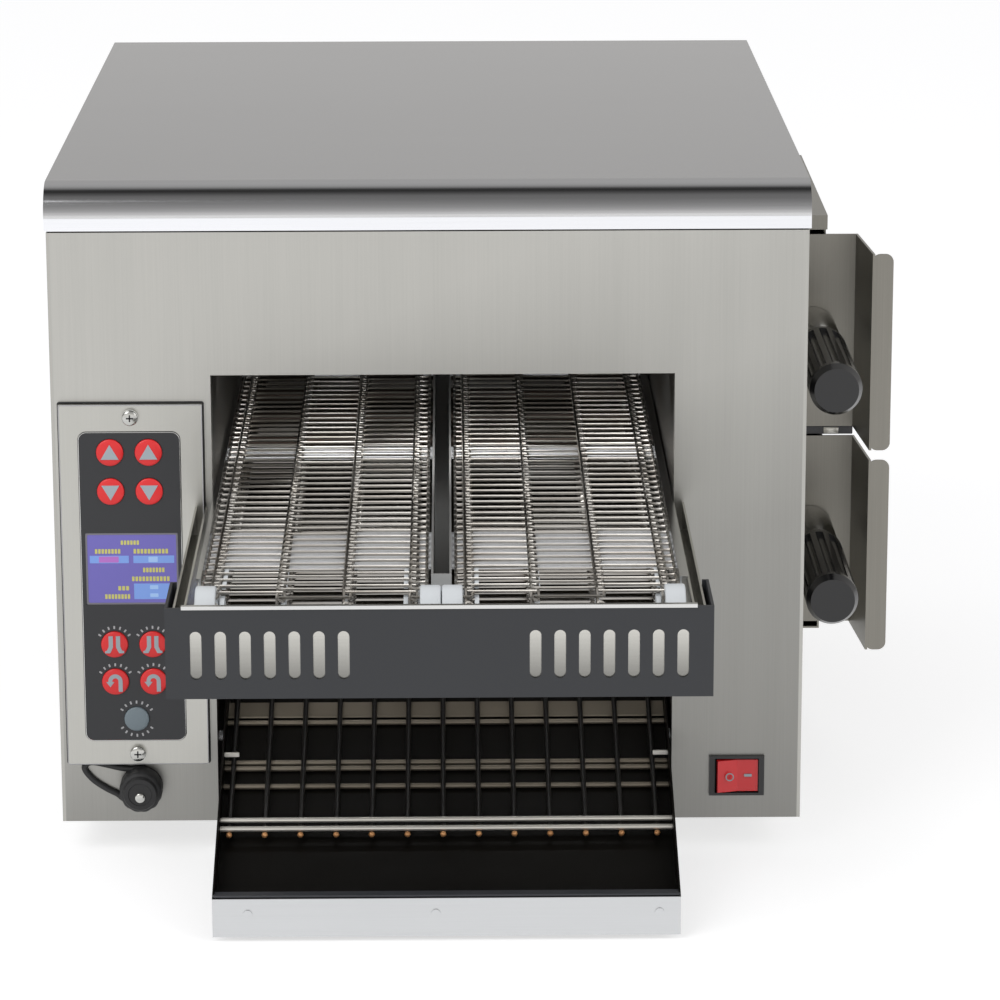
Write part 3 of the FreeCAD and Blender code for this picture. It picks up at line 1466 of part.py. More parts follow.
def make_drawer(side):
    """A narrow open drawer with its face plate, flank, flange and handle tube."""
    low, high, handle = LEVELS[side]
    wall = S.drawer_wall
    left = half + S.shelf_gauge + S.slip
    right = housing_right - S.shelf_gauge - S.slip
    box_low = low + S.drawer_lower_by
    box_high = high - S.drawer_lower_by
    outer = box(f"{side}_drawer_outer", (left, right), (face_back, drawer_rear),
                (box_low, box_high))
    hollow = box(f"{side}_drawer_hollow", (left + wall, right - wall),
                 (face_back + wall, drawer_rear - wall), (box_low + wall, box_high + S.overrun))
    face = box(f"{side}_face", (housing_left, face_right), (face_near, face_back), (low, high))
    flank_near = face_near - S.flank_depth
    flank = doc.addObject("Part::Wedge", f"{side}_flank")
    outer_near = face_right + S.flank_flare
    ends = {"Ymin": flank_near, "Ymax": face_near,
            "Xmin": outer_near - S.face_gauge, "Xmax": outer_near,
            "X2min": face_right - S.face_gauge, "X2max": face_right,
            "Zmin": low, "Zmax": high, "Z2min": low, "Z2max": high}
    for end, size in ends.items():
        bind(flank, end, size)
    flange = rounded_plate(f"{side}_flange",
                           (outer_near - S.face_gauge, outer_near + S.flange_width),
                           (flank_near, flank_near + S.face_gauge), (low, high),
                           S.flange_corner)
    tube = rod(f"{side}_handle_tube", "y", S.handle_tube_radius,
               (handle_centre, grip_far - S.grip_bite, handle),
               S.grip_standoff + S.grip_bite)
    drawer = joined(f"{side}_drawer", [cut(f"{side}_drawer_tray", outer, [hollow]), face, flank,
                                       flange, tube])
    node(f"{side}_drawer", drawer)
    make_grip(side, handle)


def make_grip(side, level):
    """Fluted grip with a rounded end, with a blind bore for the handle's tube."""
    name = f"{side}_grip"
    radius, length = S.grip_radius, S.grip_length
    far = grip_far
    near = far - length
    body = rod(f"{name}_body", "y", radius, (handle_centre, near + S.grip_end, level),
               length - S.grip_end)
    end = doc.addObject("Part::Cone", f"{name}_end")
    end.Placement.Rotation = LIE_ALONG["y"]
    bind(end, "Radius1", radius - S.grip_end / 2)
    bind(end, "Radius2", radius)
    bind(end, "Height", S.grip_end)
    place(end, (handle_centre, near, level))
    flutes = [rod(f"{name}_flute_{number}", "y", S.grip_flute_radius,
                  (handle_centre + cosine * radius, near + 2 * S.grip_end,
                   level + sine * radius), length - 3 * S.grip_end)
              for number, (cosine, sine) in enumerate(around(GRIP_FLUTES))]
    bore = rod(f"{name}_bore", "y", S.handle_tube_radius + S.shaft_fit,
               (handle_centre, far - S.grip_bite, level), S.grip_bite + S.overrun)
    node(name, cut(name, joined(f"{name}_solid", [body, end]), flutes + [bore]))


make_drawer_housing()
make_housing_cap()
make_drawer("upper")
make_drawer("lower")


# Rear fittings

def make_fan():
    """Square fan frame with a finger guard of rings and spokes, and the rotor."""
    x, z = fan_centre, fan_level
    side = S.fan_side / 2
    far = rear - S.sheet_gauge
    near = far - S.fan_depth
    frame = box("fan_frame", (x - side, x + side), (near, far), (z - side, z + side))
    bore = rod("fan_bore", "y", S.fan_bore, (x, near - S.overrun, z),
               S.fan_depth + 2 * S.overrun)
    wire = S.guard_ring_wire
    parts = [cut("fan_case", frame, [bore])]
    for number, share in enumerate(FAN_RING_SHARES):
        parts.append(ring_sector(f"fan_ring_{number}", "y", S.fan_bore * share + wire,
                                 S.fan_bore * share - wire, (x, far - 2 * wire, z), 2 * wire))
    reach = S.fan_bore + wire
    parts += [box("fan_spoke_flat", (x - reach, x + reach), (far - 2 * wire, far),
                  (z - wire, z + wire)),
              box("fan_spoke_tall", (x - wire, x + wire), (far - 2 * wire, far),
                  (z - reach, z + reach)),
              rod("fan_pin", "y", S.fan_pin, (x, near + S.fan_spoke, z),
                  S.fan_depth - S.fan_spoke)]
    node("fan_housing", joined("fan_housing", parts))
    hub_far = far - 2 * wire - S.fan_spoke
    hub = rod("fan_hub", "y", S.fan_hub, (x, near, z), hub_far - near)
    blades = []
    for number in range(FAN_BLADES):
        blade = doc.addObject("Part::Box", f"fan_blade_{number}")
        bind(blade, "Length", S.fan_blade_reach)
        bind(blade, "Width", hub_far - near - 2 * S.fan_spoke)
        bind(blade, "Height", S.fan_blade_gauge)
        blade.Placement.Rotation = FreeCAD.Rotation(
            FreeCAD.Vector(0, 1, 0), number * 360 / FAN_BLADES)
        place(blade, (x, near + S.fan_spoke, z))
        blades.append(blade)
    bore = rod("fan_hub_bore", "y", S.fan_pin + S.shaft_fit, (x, near - S.overrun, z),
               S.fan_depth + 2 * S.overrun)
    node("fan_rotor", cut("fan_rotor", joined("fan_wheel", [hub] + blades), [bore]))


def make_cable_gland():
    """Gland for the mains lead: a threaded body with a nut on each side of the panel."""
    x, z = gland_centre, S.gland_level
    body = rod("gland_body", "y", S.gland_radius, (x, gland_inner, z), S.gland_length)
    nuts = [rod(f"gland_nut_{side}", "y", S.gland_nut_radius, (x, start, z), S.gland_nut_length)
            for side, start in (("inner", gland_inner), ("outer", rear))]
    bore = rod("gland_bore", "y", S.gland_bore, (x, gland_inner - S.overrun, z),
               S.gland_length + 2 * S.overrun)
    node("cable_gland", cut("cable_gland", joined("gland_solid", [body] + nuts), [bore]))


FAN_RING_SHARES = (1 / 4, 1 / 2, 3 / 4)
make_fan()
make_cable_gland()


# Hand-over

def fault_of(thing):
    """Say what is wrong with a thing, or return nothing."""
    if "Invalid" in thing.State or "Error" in thing.State:
        return "failed"
    shape = getattr(thing, "Shape", None)
    if thing in NODES and (shape is None or shape.isNull() or not shape.isValid()):
        return "has no valid shape"
    return None


def middle_of_whole():
    """Middle of the whole object along X and Y, from its outermost pieces."""
    left = -half - S.sheet_gauge - S.screw_head
    right = face_right + S.flank_flare + S.flange_width
    near = guard_face - S.trim_lip
    far = gland_inner + S.gland_length
    return (left + right) / 2, (near + far) / 2


def write_parts():
    """Move the origin under the middle of the whole, check each object and write each file."""
    x, y = middle_of_whole()
    finished = []
    for thing in NODES:
        whole = doc.addObject("Part::Compound", f"{thing.Name}_in_place")
        whole.Links = [thing]
        place(whole, (-x, -y, 0.0))
        finished.append((thing.Label, whole))
    doc.recompute()
    faults = [f"{thing.Name} {fault_of(thing)}" for thing in doc.Objects if fault_of(thing)]
    if faults:
        raise RuntimeError("; ".join(faults))
    os.makedirs("parts", exist_ok=True)
    for name, whole in finished:
        shape = whole.Shape
        shape.exportStep(os.path.join("parts", f"{name}.step"))
        span = shape.BoundBox
        print(f"{name}: {len(shape.Solids)} solids, volume {shape.Volume:.0f}, "
              f"X {span.XMin:.1f}..{span.XMax:.1f}, Y {span.YMin:.1f}..{span.YMax:.1f}, "
              f"Z {span.ZMin:.1f}..{span.ZMax:.1f}")
    print(f"{len(NODES)} sub-parts")


write_parts()
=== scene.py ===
"""Looks of a conveyor toaster: finishes for its sheet metal and detailed pieces on its frame."""
import logging
import math
from dataclasses import dataclass, field
from enum import Enum
from typing import Any, Callable, Iterable, Sequence

import bpy
import numpy as np
from mathutils import Matrix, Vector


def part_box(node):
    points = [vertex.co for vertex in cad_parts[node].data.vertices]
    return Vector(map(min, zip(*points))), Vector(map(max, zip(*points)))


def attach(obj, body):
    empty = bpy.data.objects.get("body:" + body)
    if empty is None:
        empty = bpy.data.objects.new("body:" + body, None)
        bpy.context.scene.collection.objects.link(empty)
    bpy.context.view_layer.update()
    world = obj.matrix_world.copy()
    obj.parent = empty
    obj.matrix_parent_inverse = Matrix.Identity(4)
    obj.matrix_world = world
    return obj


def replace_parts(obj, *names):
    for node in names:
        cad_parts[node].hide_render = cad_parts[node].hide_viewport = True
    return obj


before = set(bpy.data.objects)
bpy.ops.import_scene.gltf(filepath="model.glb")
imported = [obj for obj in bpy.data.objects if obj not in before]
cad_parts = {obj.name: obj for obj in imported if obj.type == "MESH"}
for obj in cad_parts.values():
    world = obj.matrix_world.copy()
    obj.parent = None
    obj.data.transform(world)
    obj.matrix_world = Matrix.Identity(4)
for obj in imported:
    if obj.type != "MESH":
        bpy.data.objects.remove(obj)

LOG = logging.getLogger("toaster")
MM = 0.001
Colour = tuple[float, float, float]


# Shader graphs


def operator(kind: str, swapped: bool = False) -> Callable[["Signal", Any], "Signal"]:
    """A method that joins a signal and another value in a maths node.

    Args:
        kind: Blender's name of the operation.
        swapped: the other value comes first.

    Returns:
        The method.
    """
    def apply(self: "Signal", other: Any) -> "Signal":
        """The result of the operation."""
        first, second = (other, self) if swapped else (self, other)
        return self.graph.maths(kind, first, second)
    return apply


@dataclass(eq=False)
class Signal:
    """A shader socket that takes part in Python sums, products and powers.

    Fields: the graph that it belongs to, and the socket.
    """

    graph: "Graph"
    socket: bpy.types.NodeSocket

    __add__, __radd__ = operator("ADD"), operator("ADD", True)
    __sub__, __rsub__ = operator("SUBTRACT"), operator("SUBTRACT", True)
    __mul__, __rmul__ = operator("MULTIPLY"), operator("MULTIPLY", True)
    __truediv__, __pow__ = operator("DIVIDE"), operator("POWER")
    bearing, above = operator("ARCTAN2"), operator("GREATER_THAN")

    def held(self) -> "Signal":
        """The value kept between zero and one."""
        return self.graph.maths("MAXIMUM", self.graph.maths("MINIMUM", self, 1.0), 0.0)


class Graph:
    """Nodes of one material or world."""

    def __init__(self, tree: bpy.types.NodeTree) -> None:
        """Start from an empty tree."""
        self.tree = tree
        tree.nodes.clear()

    def node(self, kind: str, settings: dict[str, Any] | None = None,
             inputs: dict[Any, Any] | None = None) -> bpy.types.Node:
        """Make a node.

        Args:
            kind: Blender's name of the node type.
            settings: attributes set first; "stops" fills a colour ramp.
            inputs: number, colour or signal for each input, by name or number.

        Returns:
            The new node.
        """
        made = self.tree.nodes.new(kind)
        for name, value in (settings or {}).items():
            if name == "stops":
                ramp = made.color_ramp.elements
                while len(ramp) < len(value):
                    ramp.new(1.0)
                for element, (place, colour) in zip(ramp, value):
                    element.position = place
                    element.color = (*colour, 1.0)
            else:
                setattr(made, name, value)
        for key, value in (inputs or {}).items():
            if isinstance(value, Signal):
                self.tree.links.new(value.socket, made.inputs[key])
            elif isinstance(value, tuple) and len(value) == 3 and \
                    made.inputs[key].type == "RGBA":
                made.inputs[key].default_value = (*value, 1.0)
            else:
                made.inputs[key].default_value = value
        return made

    def out(self, node: bpy.types.Node, key: Any = 0) -> Signal:
        """One output of a node as a signal."""
        return Signal(self, node.outputs[key])

    def maths(self, operation: str, first: Any, second: Any) -> Signal:
        """A sum, product or comparison of two values."""
        return self.out(self.node("ShaderNodeMath", {"operation": operation},
                                  {0: first, 1: second}))

    def mix(self, factor: Any, first: Any, second: Any, blend: str = "MIX") -> Signal:
        """A colour between two colours, or another blend of them."""
        return self.out(self.node("ShaderNodeMix", {"data_type": "RGBA", "blend_type": blend},
                                  {0: factor, 6: first, 7: second}), 2)

    def times(self, first: Any, second: Any) -> Signal:
        """Product of two colours."""
        return self.mix(1.0, first, second, "MULTIPLY")

    def place(self) -> Signal:
        """Place on the object, in metres."""
        return self.out(self.node("ShaderNodeTexCoord"), "Object")

    def split(self, vector: Signal) -> list[Signal]:
        """The three parts of a vector."""
        parts = self.node("ShaderNodeSeparateXYZ", {}, {0: vector})
        return [self.out(parts, number) for number in range(3)]

    def noise(self, scale: tuple[float, float, float], detail: float) -> Signal:
        """Smooth noise from 0 to 1: waves per metre along each axis, number of finer layers."""
        stretched = self.node("ShaderNodeMapping", {}, {"Vector": self.place(), "Scale": scale})
        return self.out(self.node("ShaderNodeTexNoise", {}, {
            "Vector": self.out(stretched), "Scale": 1.0, "Detail": detail}))

    def ramp(self, factor: Signal, stops: Sequence[tuple[float, Colour]]) -> Signal:
        """A colour that follows a value from 0 to 1 through several stops."""
        return self.out(self.node("ShaderNodeValToRGB", {"stops": stops}, {0: factor}))

    def bump(self, height: Signal, strength: float, distance: float) -> Signal:
        """A normal from a height of 0 to 1: share of the effect, metres for a height of 1."""
        return self.out(self.node("ShaderNodeBump", {}, {
            "Height": height, "Strength": strength, "Distance": distance}))


# Finishes


class Grain(Enum):
    """Direction of brushing."""

    ACROSS = 0
    ALONG = 1
    UPRIGHT = 2


@dataclass(frozen=True)
class Finish:
    """A surface with soft mottling and a fine grain, as moulded or coated parts have.

    Fields: name, colour, roughness, metallic, coat, mottling (share of brightness),
    grain_pitch (waves per metre), grain_depth (metres), specular (share of the plain gloss,
    half being usual).
    """

    name: str
    colour: Colour
    roughness: float
    metallic: float = 0.0
    coat: float = 0.0
    mottling: float = 0.10
    grain_pitch: float = 900.0
    grain_depth: float = 0.00002
    specular: float = 0.5

    def label(self) -> str:
        """Name of the material, apart from the record's own ones."""
        return f"{self.name}_finish"

    def scaled(self, share: float) -> Colour:
        """The colour made darker or lighter."""
        return tuple(min(1.0, part * share) for part in self.colour)

    def tone(self, graph: Graph) -> Signal:
        """Base colour with soft mottling."""
        cloud = graph.noise((9.0, 9.0, 9.0), 3.0)
        return graph.mix(cloud, self.scaled(1.0 - self.mottling), self.scaled(1.0 + self.mottling))

    def height(self, graph: Graph) -> Signal:
        """Fine grain of the surface."""
        return graph.noise((self.grain_pitch,) * 3, 2.0)

    def polish(self, graph: Graph, grain: Signal) -> Signal:
        """Roughness that varies with the grain."""
        return (self.roughness + 0.10 * (grain - 0.5)).held()

    def metal(self, graph: Graph) -> Any:
        """Metallic share."""
        return self.metallic

    def extras(self) -> dict[str, Any]:
        """Further inputs of the shader."""
        return {}

    def material(self) -> bpy.types.Material:
        """Make the material, or find it if it was made before.

        Returns:
            The material, whose shader takes its tone, polish and metallic share from the
            finish's own methods.
        """
        known = bpy.data.materials.get(self.label())
        if known:
            return known
        material = bpy.data.materials.new(self.label())
        material.use_nodes = True
        graph = Graph(material.node_tree)
        grain = self.height(graph)
        shader = graph.node("ShaderNodeBsdfPrincipled", {}, {
            "Base Color": self.tone(graph), "Roughness": self.polish(graph, grain),
            "Metallic": self.metal(graph), "Coat Weight": self.coat, "Coat Roughness": 0.12,
            "Specular IOR Level": self.specular,
            "Normal": graph.bump(grain, 0.6, self.grain_depth), **self.extras()})
        graph.node("ShaderNodeOutputMaterial", {}, {0: graph.out(shader)})
        return material

    def dress(self, thing: bpy.types.Object, slot: str | None = None) -> bpy.types.Object:
        """Give the finish to an object, as its only material.

        Args:
            thing: the object.
            slot: material slot of the record, for a new piece; not used.

        Returns:
            The same object.
        """
        thing.data.materials.clear()
        thing.data.materials.append(self.material())
        return thing


@dataclass(frozen=True)
class BrushedSteel(Finish):
    """Stainless sheet with long fine scratches and broad soft streaks.

    Fields: grain (direction of brushing), streak (share of brightness in the scratches).
    """

    metallic: float = 1.0
    roughness: float = 0.34
    grain: Grain = Grain.ACROSS
    streak: float = 0.10
    grain_depth: float = 0.000012

    def stretched(self, length: float, fine: float) -> tuple[float, float, float]:
        """Waves per metre along and across the brushing."""
        scale = [fine] * 3
        scale[self.grain.value] = length
        return tuple(scale)

    def height(self, graph: Graph) -> Signal:
        """Long scratches."""
        return graph.noise(self.stretched(14.0, 1400.0), 3.0)

    def tone(self, graph: Graph) -> Signal:
        """Steel colour with scratches, broad streaks and soft clouds.

        Args:
            graph: the material's nodes.

        Returns:
            A colour between the darker and the lighter one by the sum of the three noises.
        """
        fine = graph.noise(self.stretched(14.0, 1400.0), 3.0)
        broad = graph.noise(self.stretched(3.0, 60.0), 2.0)
        cloud = graph.noise((5.0, 5.0, 5.0), 2.0)
        share = (0.5 + (fine - 0.5) * 0.9 + (broad - 0.5) * 0.5 + (cloud - 0.5) * 0.5).held()
        return graph.mix(share, self.scaled(1.0 - self.streak), self.scaled(1.0 + self.streak))


@dataclass(frozen=True)
class HeatedSteel(Finish):
    """Steel near the heaters: darkened, with straw and brown patches.

    Fields: tint, the colour of the patches.
    """

    metallic: float = 1.0
    roughness: float = 0.38
    tint: Colour = (0.30, 0.22, 0.14)

    def tone(self, graph: Graph) -> Signal:
        """Steel with tinted patches."""
        patch = (graph.noise((22.0, 22.0, 22.0), 4.0) * 2.4 - 0.9).held()
        plain = super().tone(graph)
        return graph.mix(patch * 0.5, plain, self.tint)


@dataclass(frozen=True)
class TwoTone(Finish):
    """One finish near an axis and another further out, such as wheels on a shaft.

    Fields: centre and axis of the line, radius where the finish changes, outer colour,
    metallic share and roughness beyond it.
    """

    centre: tuple[float, float, float] = (0.0, 0.0, 0.0)
    axis: int = 0
    radius: float = 0.01
    outer: Colour = (0.8, 0.8, 0.8)
    outer_metallic: float = 0.0
    outer_roughness: float = 0.5

    def far(self, graph: Graph) -> Signal:
        """Which side of the radius a point is on.

        Args:
            graph: the material's nodes.

        Returns:
            One where the root of the sum of squares of the two offsets is above the radius.
        """
        parts = graph.split(graph.place())
        offsets = [parts[number] - self.centre[number] for number in range(3)
                   if number != self.axis]
        distance = (offsets[0] ** 2.0 + offsets[1] ** 2.0) ** 0.5
        return distance.above(self.radius)

    def tone(self, graph: Graph) -> Signal:
        """Inner colour, then the outer one."""
        return graph.mix(self.far(graph), super().tone(graph), self.outer)

    def metal(self, graph: Graph) -> Signal:
        """Metallic share on each side of the radius."""
        return self.metallic + self.far(graph) * (self.outer_metallic - self.metallic)

    def polish(self, graph: Graph, grain: Signal) -> Signal:
        """Roughness on each side of the radius."""
        plain = super().polish(graph, grain)
        return plain + self.far(graph) * (self.outer_roughness - self.roughness)


@dataclass(frozen=True)
class Banded(BrushedSteel):
    """Steel whose brightness changes along one direction: painted light and shade.

    Fields: direction, first and last place of the range along it, and the stops: share of
    the range and share of the brightness.
    """

    direction: tuple[float, float, float] = (0.0, 0.0, 1.0)
    first: float = 0.0
    last: float = 1.0
    stops: tuple[tuple[float, float], ...] = ((0.0, 1.0), (1.0, 1.0))

    def tone(self, graph: Graph) -> Signal:
        """Steel colour times the share at this place: painted light and shade.

        Args:
            graph: the material's nodes.

        Returns:
            The colour; the place is the sum of the coordinates times the direction.
        """
        parts = graph.split(graph.place())
        place = sum(part * share for part, share in zip(parts, self.direction))
        along = ((place - self.first) / (self.last - self.first)).held()
        shades = graph.ramp(along, [(at, (share, share, share)) for at, share in self.stops])
        return graph.times(super().tone(graph), shades)


@dataclass(frozen=True)
class Lit(Finish):
    """A face that glows by itself, such as a display's fields.

    Fields: glow, the strength of the light.
    """

    glow: float = 0.5

    def extras(self) -> dict[str, Any]:
        """The emission."""
        return {"Emission Color": self.colour, "Emission Strength": self.glow}


# Surfaces


def linked(name: str, data: bpy.types.ID) -> bpy.types.Object:
    """New object in the scene with a mesh, lamp or camera."""
    thing = bpy.data.objects.new(name, data)
    bpy.context.scene.collection.objects.link(thing)
    return thing


@dataclass
class Surface:
    """Points and faces of one mesh, to which more can be added."""

    points: list[np.ndarray] = field(default_factory=list)
    faces: list[np.ndarray] = field(default_factory=list)
    count: int = 0

    def add(self, points: np.ndarray, *faces: np.ndarray) -> "Surface":
        """Add points and the faces among them.

        Args:
            points: places, one row each.
            faces: arrays of corner numbers, one row for each face.

        Returns:
            The same surface.
        """
        flat = np.asarray(points, float).reshape(-1, 3)
        self.points.append(flat)
        self.faces.extend(np.asarray(face) + self.count for face in faces if len(face))
        self.count += len(flat)
        return self

    def join(self, other: "Surface") -> "Surface":
        """Add another surface."""
        return self.add(np.concatenate(other.points), *other.faces)

    def copies(self, offsets: Iterable[Sequence[float]]) -> "Surface":
        """The same surface at several places.

        Args:
            offsets: distance that each copy is moved by.

        Returns:
            A surface with all copies.
        """
        points = np.concatenate(self.points)
        moves = np.asarray(list(offsets), float)
        many = Surface()
        many.points = [(points[None] + moves[:, None]).reshape(-1, 3)]
        steps = np.arange(len(moves))[:, None, None] * len(points)
        many.faces = [(face[None] + steps).reshape(-1, face.shape[1]) for face in self.faces]
        many.count = len(many.points[0])
        return many

    def piece(self, name: str, finish: Finish, body: str, slot: str,
              angle: float = 35.0) -> bpy.types.Object:
        """Make the object, dress it and let it ride on a body.

        Args:
            name: the piece's name.
            finish: its finish.
            body: the body that it moves with.
            slot: material slot of the record.
            angle: edges sharper than this many degrees stay sharp.

        Returns:
            The new object.
        """
        mesh = bpy.data.meshes.new(name)
        faces = [row for face in self.faces for row in face.tolist()]
        mesh.from_pydata(np.concatenate(self.points).tolist(), [], faces)
        mesh.polygons.foreach_set("use_smooth", np.ones(len(mesh.polygons), bool))
        mesh.set_sharp_from_angle(angle=math.radians(angle))
        mesh.update()
        thing = finish.dress(linked(name, mesh), slot)
        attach(thing, body)
        LOG.info("%s: %d faces on %s", name, len(faces), body)
        return thing


def joined(parts: Iterable[Surface]) -> Surface:
    """Several surfaces as one."""
    whole = Surface()
    for part in parts:
        whole.join(part)
    return whole


def grid_faces(rows: int, columns: int, closed: bool = False) -> np.ndarray:
    """Four-cornered faces of a grid of points numbered row by row, each row a ring.

    Args:
        rows: number of rows of points.
        columns: number of points in each row.
        closed: the last row joins the first.

    Returns:
        Corner numbers, one row for each face.
    """
    row = np.arange(rows if closed else rows - 1)[:, None]
    column = np.arange(columns)[None]
    after, beside = (row + 1) % rows, (column + 1) % columns
    corners = [row * columns + column, row * columns + beside,
               after * columns + beside, after * columns + column]
    return np.stack([np.broadcast_to(c, (row.size, column.size)) for c in corners],
                    -1).reshape(-1, 4)


def loft(layers: Sequence[np.ndarray]) -> Surface:
    """Skin over closed outlines in a row, with a fan of faces over each end.

    Args:
        layers: outlines with the same number of points, each counted the same way.

    Returns:
        The surface; it faces outwards where the outlines turn to the left as seen from the
        side that they move towards.
    """
    stacked = np.stack(layers)
    rows, columns = stacked.shape[:2]
    points = np.concatenate([stacked.reshape(-1, 3), stacked[[0, -1]].mean(1)])
    turn = np.arange(columns)
    beside = (turn + 1) % columns
    first = np.stack([np.full(columns, rows * columns), beside, turn], -1)
    base = (rows - 1) * columns
    last = np.stack([np.full(columns, rows * columns + 1), base + turn, base + beside], -1)
    return Surface().add(points, grid_faces(rows, columns), first, last)


def circle(radius: float, count: int) -> np.ndarray:
    """Points of a circle in a plane, cosine and sine of even steps times the radius."""
    turn = np.arange(count) * (2 * np.pi / count)
    return np.stack([np.cos(turn), np.sin(turn)], -1) * radius


def rounded(width: float, height: float, radius: float, steps: int) -> np.ndarray:
    """Outline of a rectangle with round corners.

    Args:
        width: whole width.
        height: whole height.
        radius: radius of the corners.
        steps: points on each corner, less one.

    Returns:
        Points counted to the left, each corner's centre plus the radius times the cosine
        and sine of a quarter turn in steps.
    """
    turn = (np.arange(4)[:, None] + np.arange(steps + 1)[None] / steps) * (np.pi / 2)
    centre = np.array([[1, 1], [-1, 1], [-1, -1], [1, -1]]) * \
        np.array([width / 2 - radius, height / 2 - radius])
    arc = np.stack([np.cos(turn), np.sin(turn)], -1) * radius
    return (centre[:, None] + arc).reshape(-1, 2)


def unit(vectors: np.ndarray) -> np.ndarray:
    """Directions of vectors, each with a length of one."""
    return vectors / np.linalg.norm(vectors, axis=-1, keepdims=True)


def rings(path: np.ndarray, side: np.ndarray, over: np.ndarray, radius: float,
          count: int) -> np.ndarray:
    """Circles at the points of a path.

    Args:
        path: points of the middle line.
        side: first direction in each circle's plane.
        over: second direction in it.
        radius: radius of the circles.
        count: points on each of them.

    Returns:
        Each point of the path plus the circle's two coordinates along the two directions.
    """
    ring = circle(radius, count)
    return path[:, None] + ring[None, :, :1] * side[:, None] + ring[None, :, 1:] * over[:, None]


def tube(path: np.ndarray, radius: float, sides: int, up: Sequence[float] = (0, 0, 1)) -> Surface:
    """Round wire along a path, closed at both ends.

    Args:
        path: points of the middle line.
        radius: radius of the wire.
        sides: points round it.
        up: a direction that the path never follows.

    Returns:
        The wire, whose circles stand square to the path.
    """
    path = np.asarray(path, float)
    ahead = unit(np.gradient(path, axis=0))
    side = unit(np.cross(ahead, np.asarray(up, float)))
    return loft(rings(path, side, np.cross(side, ahead), radius, sides)[::-1])


def eased(path: Sequence[Sequence[float]], reach: float) -> np.ndarray:
    """Path whose corners are cut: each inner point becomes two, moved towards its neighbours.

    Args:
        path: points of the path.
        reach: length taken off on each side of a corner.

    Returns:
        The longer list of points.
    """
    points = np.asarray(path, float)
    middle = points[1:-1]
    back, on = points[:-2] - middle, points[2:] - middle
    back_length = np.linalg.norm(back, axis=1, keepdims=True)
    on_length = np.linalg.norm(on, axis=1, keepdims=True)
    before = middle + back / back_length * np.minimum(reach, back_length * 0.4)
    after = middle + on / on_length * np.minimum(reach, on_length * 0.4)
    inner = np.stack([before, after], 1).reshape(-1, 3)
    return np.concatenate([points[:1], inner, points[-1:]])


def facing(outline: np.ndarray, centre: Sequence[float], depth: float) -> np.ndarray:
    """Outline in the front plane: X and Z from the outline, Y a depth behind the centre."""
    return np.stack([centre[0] + outline[:, 0], np.full(len(outline), centre[1] + depth),
                     centre[2] + outline[:, 1]], -1)


def plate(size: tuple[float, float], corner: float, centre: Sequence[float],
          depths: Sequence[float], edge: float) -> Surface:
    """Plate in the front plane with round corners, drawn in round its front face.

    Args:
        size: width and height.
        corner: radius of the corners.
        centre: place of its middle.
        depths: distances behind the centre of the rear face, the edge and the front face.
        edge: how far the front face is drawn in.

    Returns:
        A skin over three outlines, the last one scaled so that its furthest point comes
        nearer by the edge.
    """
    outline = rounded(*size, corner, 2)
    reach = np.abs(outline).max(0)
    return loft([facing(outline * ((reach - inset) / reach), centre, depth)
                 for depth, inset in zip(depths, (0.0, 0.0, edge))])


def turned(profile: Sequence[Sequence[float]], centre: Sequence[float],
           count: int) -> Surface:
    """Round body about a line along Y: circles with the radius and depth of each profile
    point, counted from the rear to the front.

    Args:
        profile: radius and distance behind the centre for each circle.
        centre: place of the profile's origin.
        count: points on each circle.

    Returns:
        The round body, closed at both ends.
    """
    return loft([facing(circle(radius, count), centre, depth) for radius, depth in profile])


def flat_shape(outline: np.ndarray, centre: Sequence[float], rear: float,
               near: float) -> Surface:
    """Flat sign of any outline in the front plane, with one face in front and its edge.

    Args:
        outline: closed outline counted to the left, hollow corners allowed.
        centre: place of the outline's origin.
        rear: depth of the rear edge behind the centre.
        near: depth of the face in front.

    Returns:
        The sign.
    """
    count = len(outline)
    points = np.concatenate([facing(outline, centre, rear), facing(outline, centre, near)])
    front = (count + np.arange(count))[None]
    return Surface().add(points, grid_faces(2, count), front,
                         np.arange(count)[::-1][None])


def hoop(path: np.ndarray, beside: np.ndarray, radius: float, sides: int) -> Surface:
    """Wire along a closed path in the front plane.

    Args:
        path: points of the middle line.
        beside: direction square to the path and to Y at each point.
        radius: radius of the wire.
        sides: points round it.

    Returns:
        Circles at the points, in the plane of beside and Y.
    """
    wire = rings(path, beside, np.array([[0.0, 1.0, 0.0]]), radius, sides)
    return Surface().add(wire.reshape(-1, 3), grid_faces(len(path), sides, True))


def dress_nodes(table: dict[Finish, Sequence[str]]) -> None:
    """Give each node that keeps its solid's shape its finish."""
    for finish, nodes in table.items():
        for node in nodes:
            finish.dress(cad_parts[node])


def middle(node: str) -> np.ndarray:
    """Middle of a node's box."""
    low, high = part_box(node)
    return (np.array(low) + np.array(high)) / 2


def front_of(node: str) -> np.ndarray:
    """Middle of a node's box in X and Z, on its front face."""
    low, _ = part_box(node)
    centre = middle(node)
    return np.array([centre[0], low[1], centre[2]])
